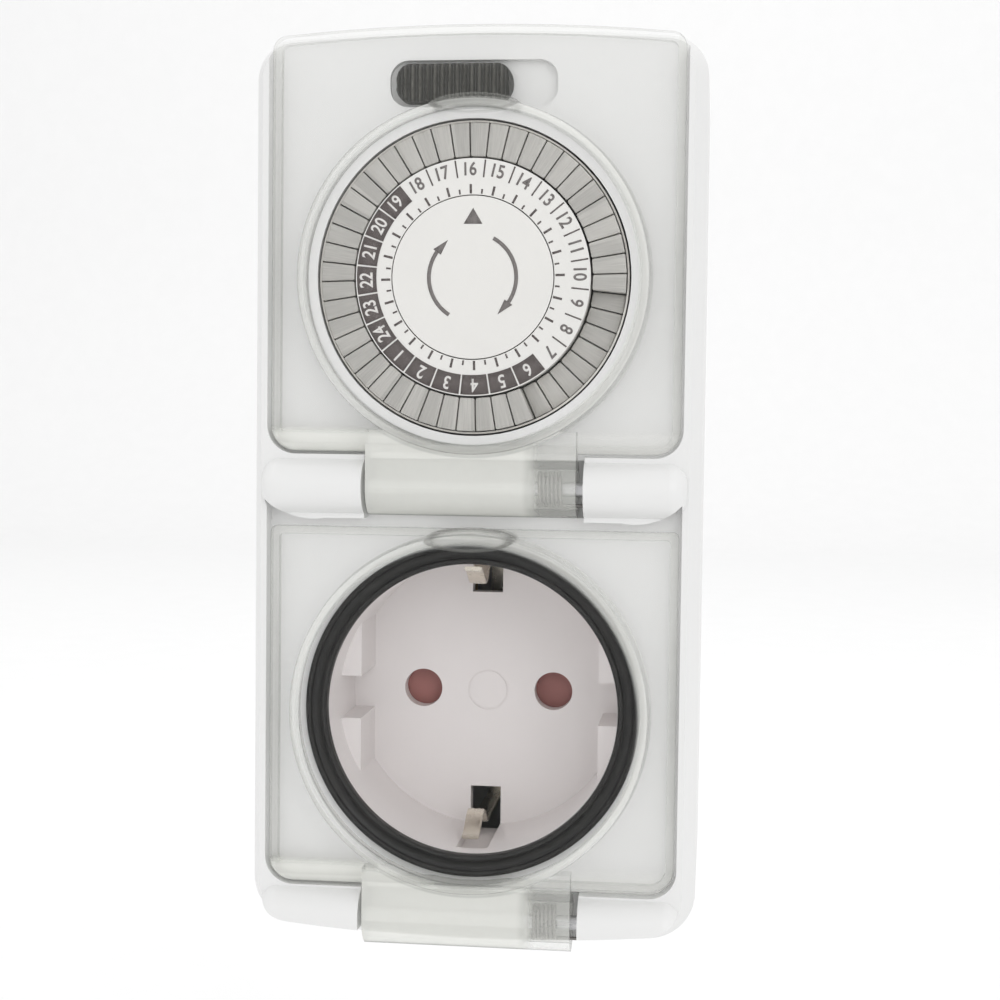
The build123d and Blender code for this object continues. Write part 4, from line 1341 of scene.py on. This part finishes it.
@dataclass
class Socket:
    """The socket recess with its seal, earth clips and shutter."""

    centre_z: float = -58.0
    seal_in: float = 19.82
    seal_out: float = 22.75
    seal_front: float = -1.5
    seal_back: float = -0.02
    seal_lip: float = 0.42
    seal_sag: float = 0.25
    clip_left: float = -1.9
    clip_right: float = 0.5
    clip_r: float = 18.4
    clip_thick: float = 0.6
    clip_lip: float = 4.7
    clip_foot: float = 0.3
    clip_knee: tuple[float, float] = (16.0, 15.6)
    clip_bow: float = 2.35
    clip_skew: float = 0.85
    clip_end: float = 36.2
    bar_front: float = 35.4
    insert: Colour = (0.82, 0.785, 0.778)
    brown: Colour = (0.35, 0.14, 0.125)

    def seal_profile(self) -> np.ndarray:
        """The seal's section: two round lips with a sagging channel between.

        Each lip is a half circle; the channel between them is half a sine wave deep.

        Returns:
            Rows of radius and depth, a closed loop.
        """
        lip, brink = self.seal_lip, self.seal_front + self.seal_lip
        a = np.linspace(np.pi, 0.0, 9)
        inner = np.stack([self.seal_in + lip + lip * np.cos(a), brink - lip * np.sin(a)], axis=-1)
        outer = inner + np.array([self.seal_out - self.seal_in - 2 * lip, 0.0])
        u = np.linspace(0.0, 1.0, 11)[1:-1]
        x = inner[-1, 0] + (outer[0, 0] - inner[-1, 0]) * u
        sag = np.stack([x, brink + self.seal_sag * np.sin(np.pi * u)], axis=-1)
        base = np.array([[self.seal_out, self.seal_back], [self.seal_in, self.seal_back]])
        return np.vstack([inner, sag, outer, base])

    def clip_path(self) -> np.ndarray:
        """Middle line of an earth clip.

        Straight from the bar behind the floor, then a bow towards the axis: the distance
        falls by clip_bow times the square of a sine over the bow's length.

        Returns:
            Rows of depth and distance from the socket's axis.
        """
        foot = self.clip_r + self.clip_foot
        knee, start = self.clip_knee
        straight = np.array([[self.clip_end, foot], [knee, foot]])
        u = np.linspace(0.0, 1.0, 25)[1:]
        depth = start + (self.clip_lip - start) * u
        bow = foot - self.clip_bow * np.sin(np.pi * u**self.clip_skew) ** 2
        return np.vstack([straight, np.stack([depth, bow], axis=-1)])

    def clip(self, side: float) -> np.ndarray:
        """A clip: its section, a flat bar with round edges, carried along the path.

        The section's point at angle f stands half the thickness times a steep sine off the path
        and half the width times a steep cosine across it.

        Args:
            side: 1 for the upper clip, -1 for the lower.

        Returns:
            A grid of points that wraps on its columns.
        """
        path, way, size = closed_path(self.clip_path())
        off = np.stack([-way[:, 1], way[:, 0]], axis=-1)
        f = np.linspace(0, 2 * np.pi, 16, endpoint=False)
        wide, thick = steep(np.cos(f), 0.35), steep(np.sin(f), 0.35)
        middle = (self.clip_left + self.clip_right) / 2
        half = (self.clip_right - self.clip_left) / 2
        x = middle + half * wide[None, :] * size[:, None]
        lift = self.clip_thick / 2 * thick[None, :] * size[:, None]
        depth = path[:, :1] + off[:, :1] * lift
        away = path[:, 1:] + off[:, 1:] * lift
        return np.stack([x, MOUTH + depth, self.centre_z + side * away], axis=-1)

    def build(self) -> None:
        """Dresses the recess and makes the seal, the clips and the bar that joins them."""
        nickel = Metal("clip_nickel", (0.74, 0.69, 0.6), 0.2).make()
        look = {"roughness": 0.42, "grain": 1500.0, "depth": 0.02, "clouds": 0.02}
        dress("socket_insert", Moulded("insert_white", self.insert, **look).make())
        look = {"roughness": 0.5, "grain": 1200.0, "depth": 0.03, "clouds": 0.1}
        dress("shutter", Moulded("shutter_brown", self.brown, **look).make())
        rubber = Rubber("seal_rubber").make()
        body = Body.HOUSING.value
        seal = Surfaces()
        ring = lathe(self.seal_profile(), self.centre_z)
        seal.grid(ring, rows_wrap=True, columns_wrap=True)
        seal.piece("socket_seal_ring", rubber, body, "seal_black", stands_for=["socket_seal"])
        clips = Surfaces()
        for side in (-1.0, 1.0):
            clips.grid(self.clip(side), columns_wrap=True)
        reach = self.clip_r + self.clip_thick
        sides = (self.clip_left, self.clip_right, self.centre_z - reach, self.centre_z + reach)
        bar = block(sides, (MOUTH + self.bar_front, MOUTH + self.clip_end))
        clips.grid(bar, columns_wrap=True)
        clips.piece("earth_clips", nickel, body, "nickel", stands_for=["earth_bracket"])


# ------------------------------------------------------------------ studio
@dataclass(frozen=True)
class Lamp:
    """A soft square lamp. Its places and its side are in metres and its power in watts."""

    name: str
    place: tuple[float, float, float]
    aim: tuple[float, float, float]
    size: float
    power: float

    def build(self) -> None:
        """Makes the lamp."""
        light = bpy.data.lights.new(self.name, "AREA")
        light.size = self.size
        light.energy = self.power
        thing = bpy.data.objects.new(self.name, light)
        thing.location = self.place
        way = Vector(self.aim) - Vector(self.place)
        thing.rotation_euler = way.to_track_quat("-Z", "Y").to_euler()
        bpy.context.scene.collection.objects.link(thing)


@dataclass
class Studio:
    """The pale sweep, soft lights and camera round the object."""

    eye: tuple[float, float, float] = (32.167, -297.818, -17.299)
    right: tuple[float, float, float] = (0.992781, 0.119357, 0.011831)
    down: tuple[float, float, float] = (0.017763, -0.048763, -0.998652)
    ahead: tuple[float, float, float] = (-0.11862, 0.991653, -0.050531)
    lens: float = 64.612
    floor_z: float = -160.0
    floor_front: float = -3000.0
    bend_start: float = 1500.0
    bend_r: float = 400.0
    wall_top: float = 3000.0
    half_width: float = 4000.0
    paper: Colour = (0.92, 0.92, 0.92)
    room: float = 0.89
    lamps: tuple[Lamp, ...] = (
        Lamp("key", (0.5, -1.05, 0.4), (0.0, -0.04, -0.03), 0.6, 1.9),
        Lamp("fill", (-0.6, -0.8, 0.3), (0.0, -0.04, -0.03), 0.7, 0.3),
        Lamp("wash", (0.0, 0.3, 1.2), (0.0, 1.9, -0.1), 1.6, 6.0),
    )

    def sweep(self) -> None:
        """The paper sweep: flat, then a quarter circle, then upright."""
        a = np.linspace(0.0, np.pi / 2, 17)
        bend_y = self.bend_start + self.bend_r * np.sin(a)
        bend_z = self.bend_r * (1 - np.cos(a))
        y = np.concatenate([[self.floor_front], bend_y, [self.bend_start + self.bend_r]])
        z = np.concatenate([[0.0], bend_z, [self.wall_top]]) + self.floor_z
        x = np.array([-self.half_width, self.half_width])[:, None]
        rows = np.stack(np.broadcast_arrays(x, y[None], z[None]), axis=-1)
        mesh = bpy.data.meshes.new("sweep")
        count = len(y)
        faces = [(i, count + i, count + i + 1, i + 1) for i in range(count - 1)]
        mesh.from_pydata((rows.reshape(-1, 3) * MM).tolist(), [], faces)
        paper = Moulded("paper", self.paper, 0.8, grain=300.0, depth=0.01, clouds=0.004)
        mesh.materials.append(paper.make())
        mesh.shade_smooth()
        thing = bpy.data.objects.new("sweep", mesh)
        bpy.context.scene.collection.objects.link(thing)

    def camera(self) -> None:
        """The camera, turned so that its axes are right, up and back."""
        camera = bpy.data.cameras.new("camera")
        camera.lens = self.lens
        camera.sensor_width = 36.0
        camera.clip_start = 0.01
        camera.clip_end = 20.0
        thing = bpy.data.objects.new("camera", camera)
        up, back = -Vector(self.down), -Vector(self.ahead)
        turn = Matrix((Vector(self.right), up, back)).transposed().to_4x4()
        thing.matrix_world = Matrix.Translation(Vector(self.eye) * MM) @ turn
        bpy.context.scene.collection.objects.link(thing)
        bpy.context.scene.camera = thing

    def build(self) -> None:
        """Makes the sweep, the world, the lamps and the camera."""
        self.sweep()
        bpy.context.scene.view_settings.view_transform = "Standard"
        world = bpy.data.worlds.new("soft_room")
        world.use_nodes = True
        light = world.node_tree.nodes["Background"]
        light.inputs["Color"].default_value = (1.0, 1.0, 1.0, 1.0)
        light.inputs["Strength"].default_value = self.room
        bpy.context.scene.world = world
        for lamp in self.lamps:
            lamp.build()
        self.camera()
        log.info("studio: %d lamps", len(self.lamps))


def main() -> None:
    """Builds each sub-assembly in order."""
    logging.basicConfig(level=logging.INFO, format="%(name)s: %(message)s")
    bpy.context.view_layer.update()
    Studio().build()
    Housing().build()
    spring = Metal("spring_wire", (0.24, 0.23, 0.22), 0.3, stretch=(1.0, 1.0, 1.0)).make()
    dial_lid = {"dome_z": 0.0, "dome_r": 23.7, "hinge_z": -27.9, "pad_z": -20.6}
    Lid("dial_lid", **dial_lid, bottom=-23.2, top=33.5).build(spring)
    socket_lid = {"dome_z": -58.0, "dome_r": 24.4, "hinge_z": -86.3, "pad_z": -79.4}
    Lid("socket_lid", **socket_lid, bottom=-82.0, top=-33.4).build(spring)
    Tappets().build()
    Dial().build()
    Override().build()
    Socket().build()


if __name__ == "__main__":
    main()
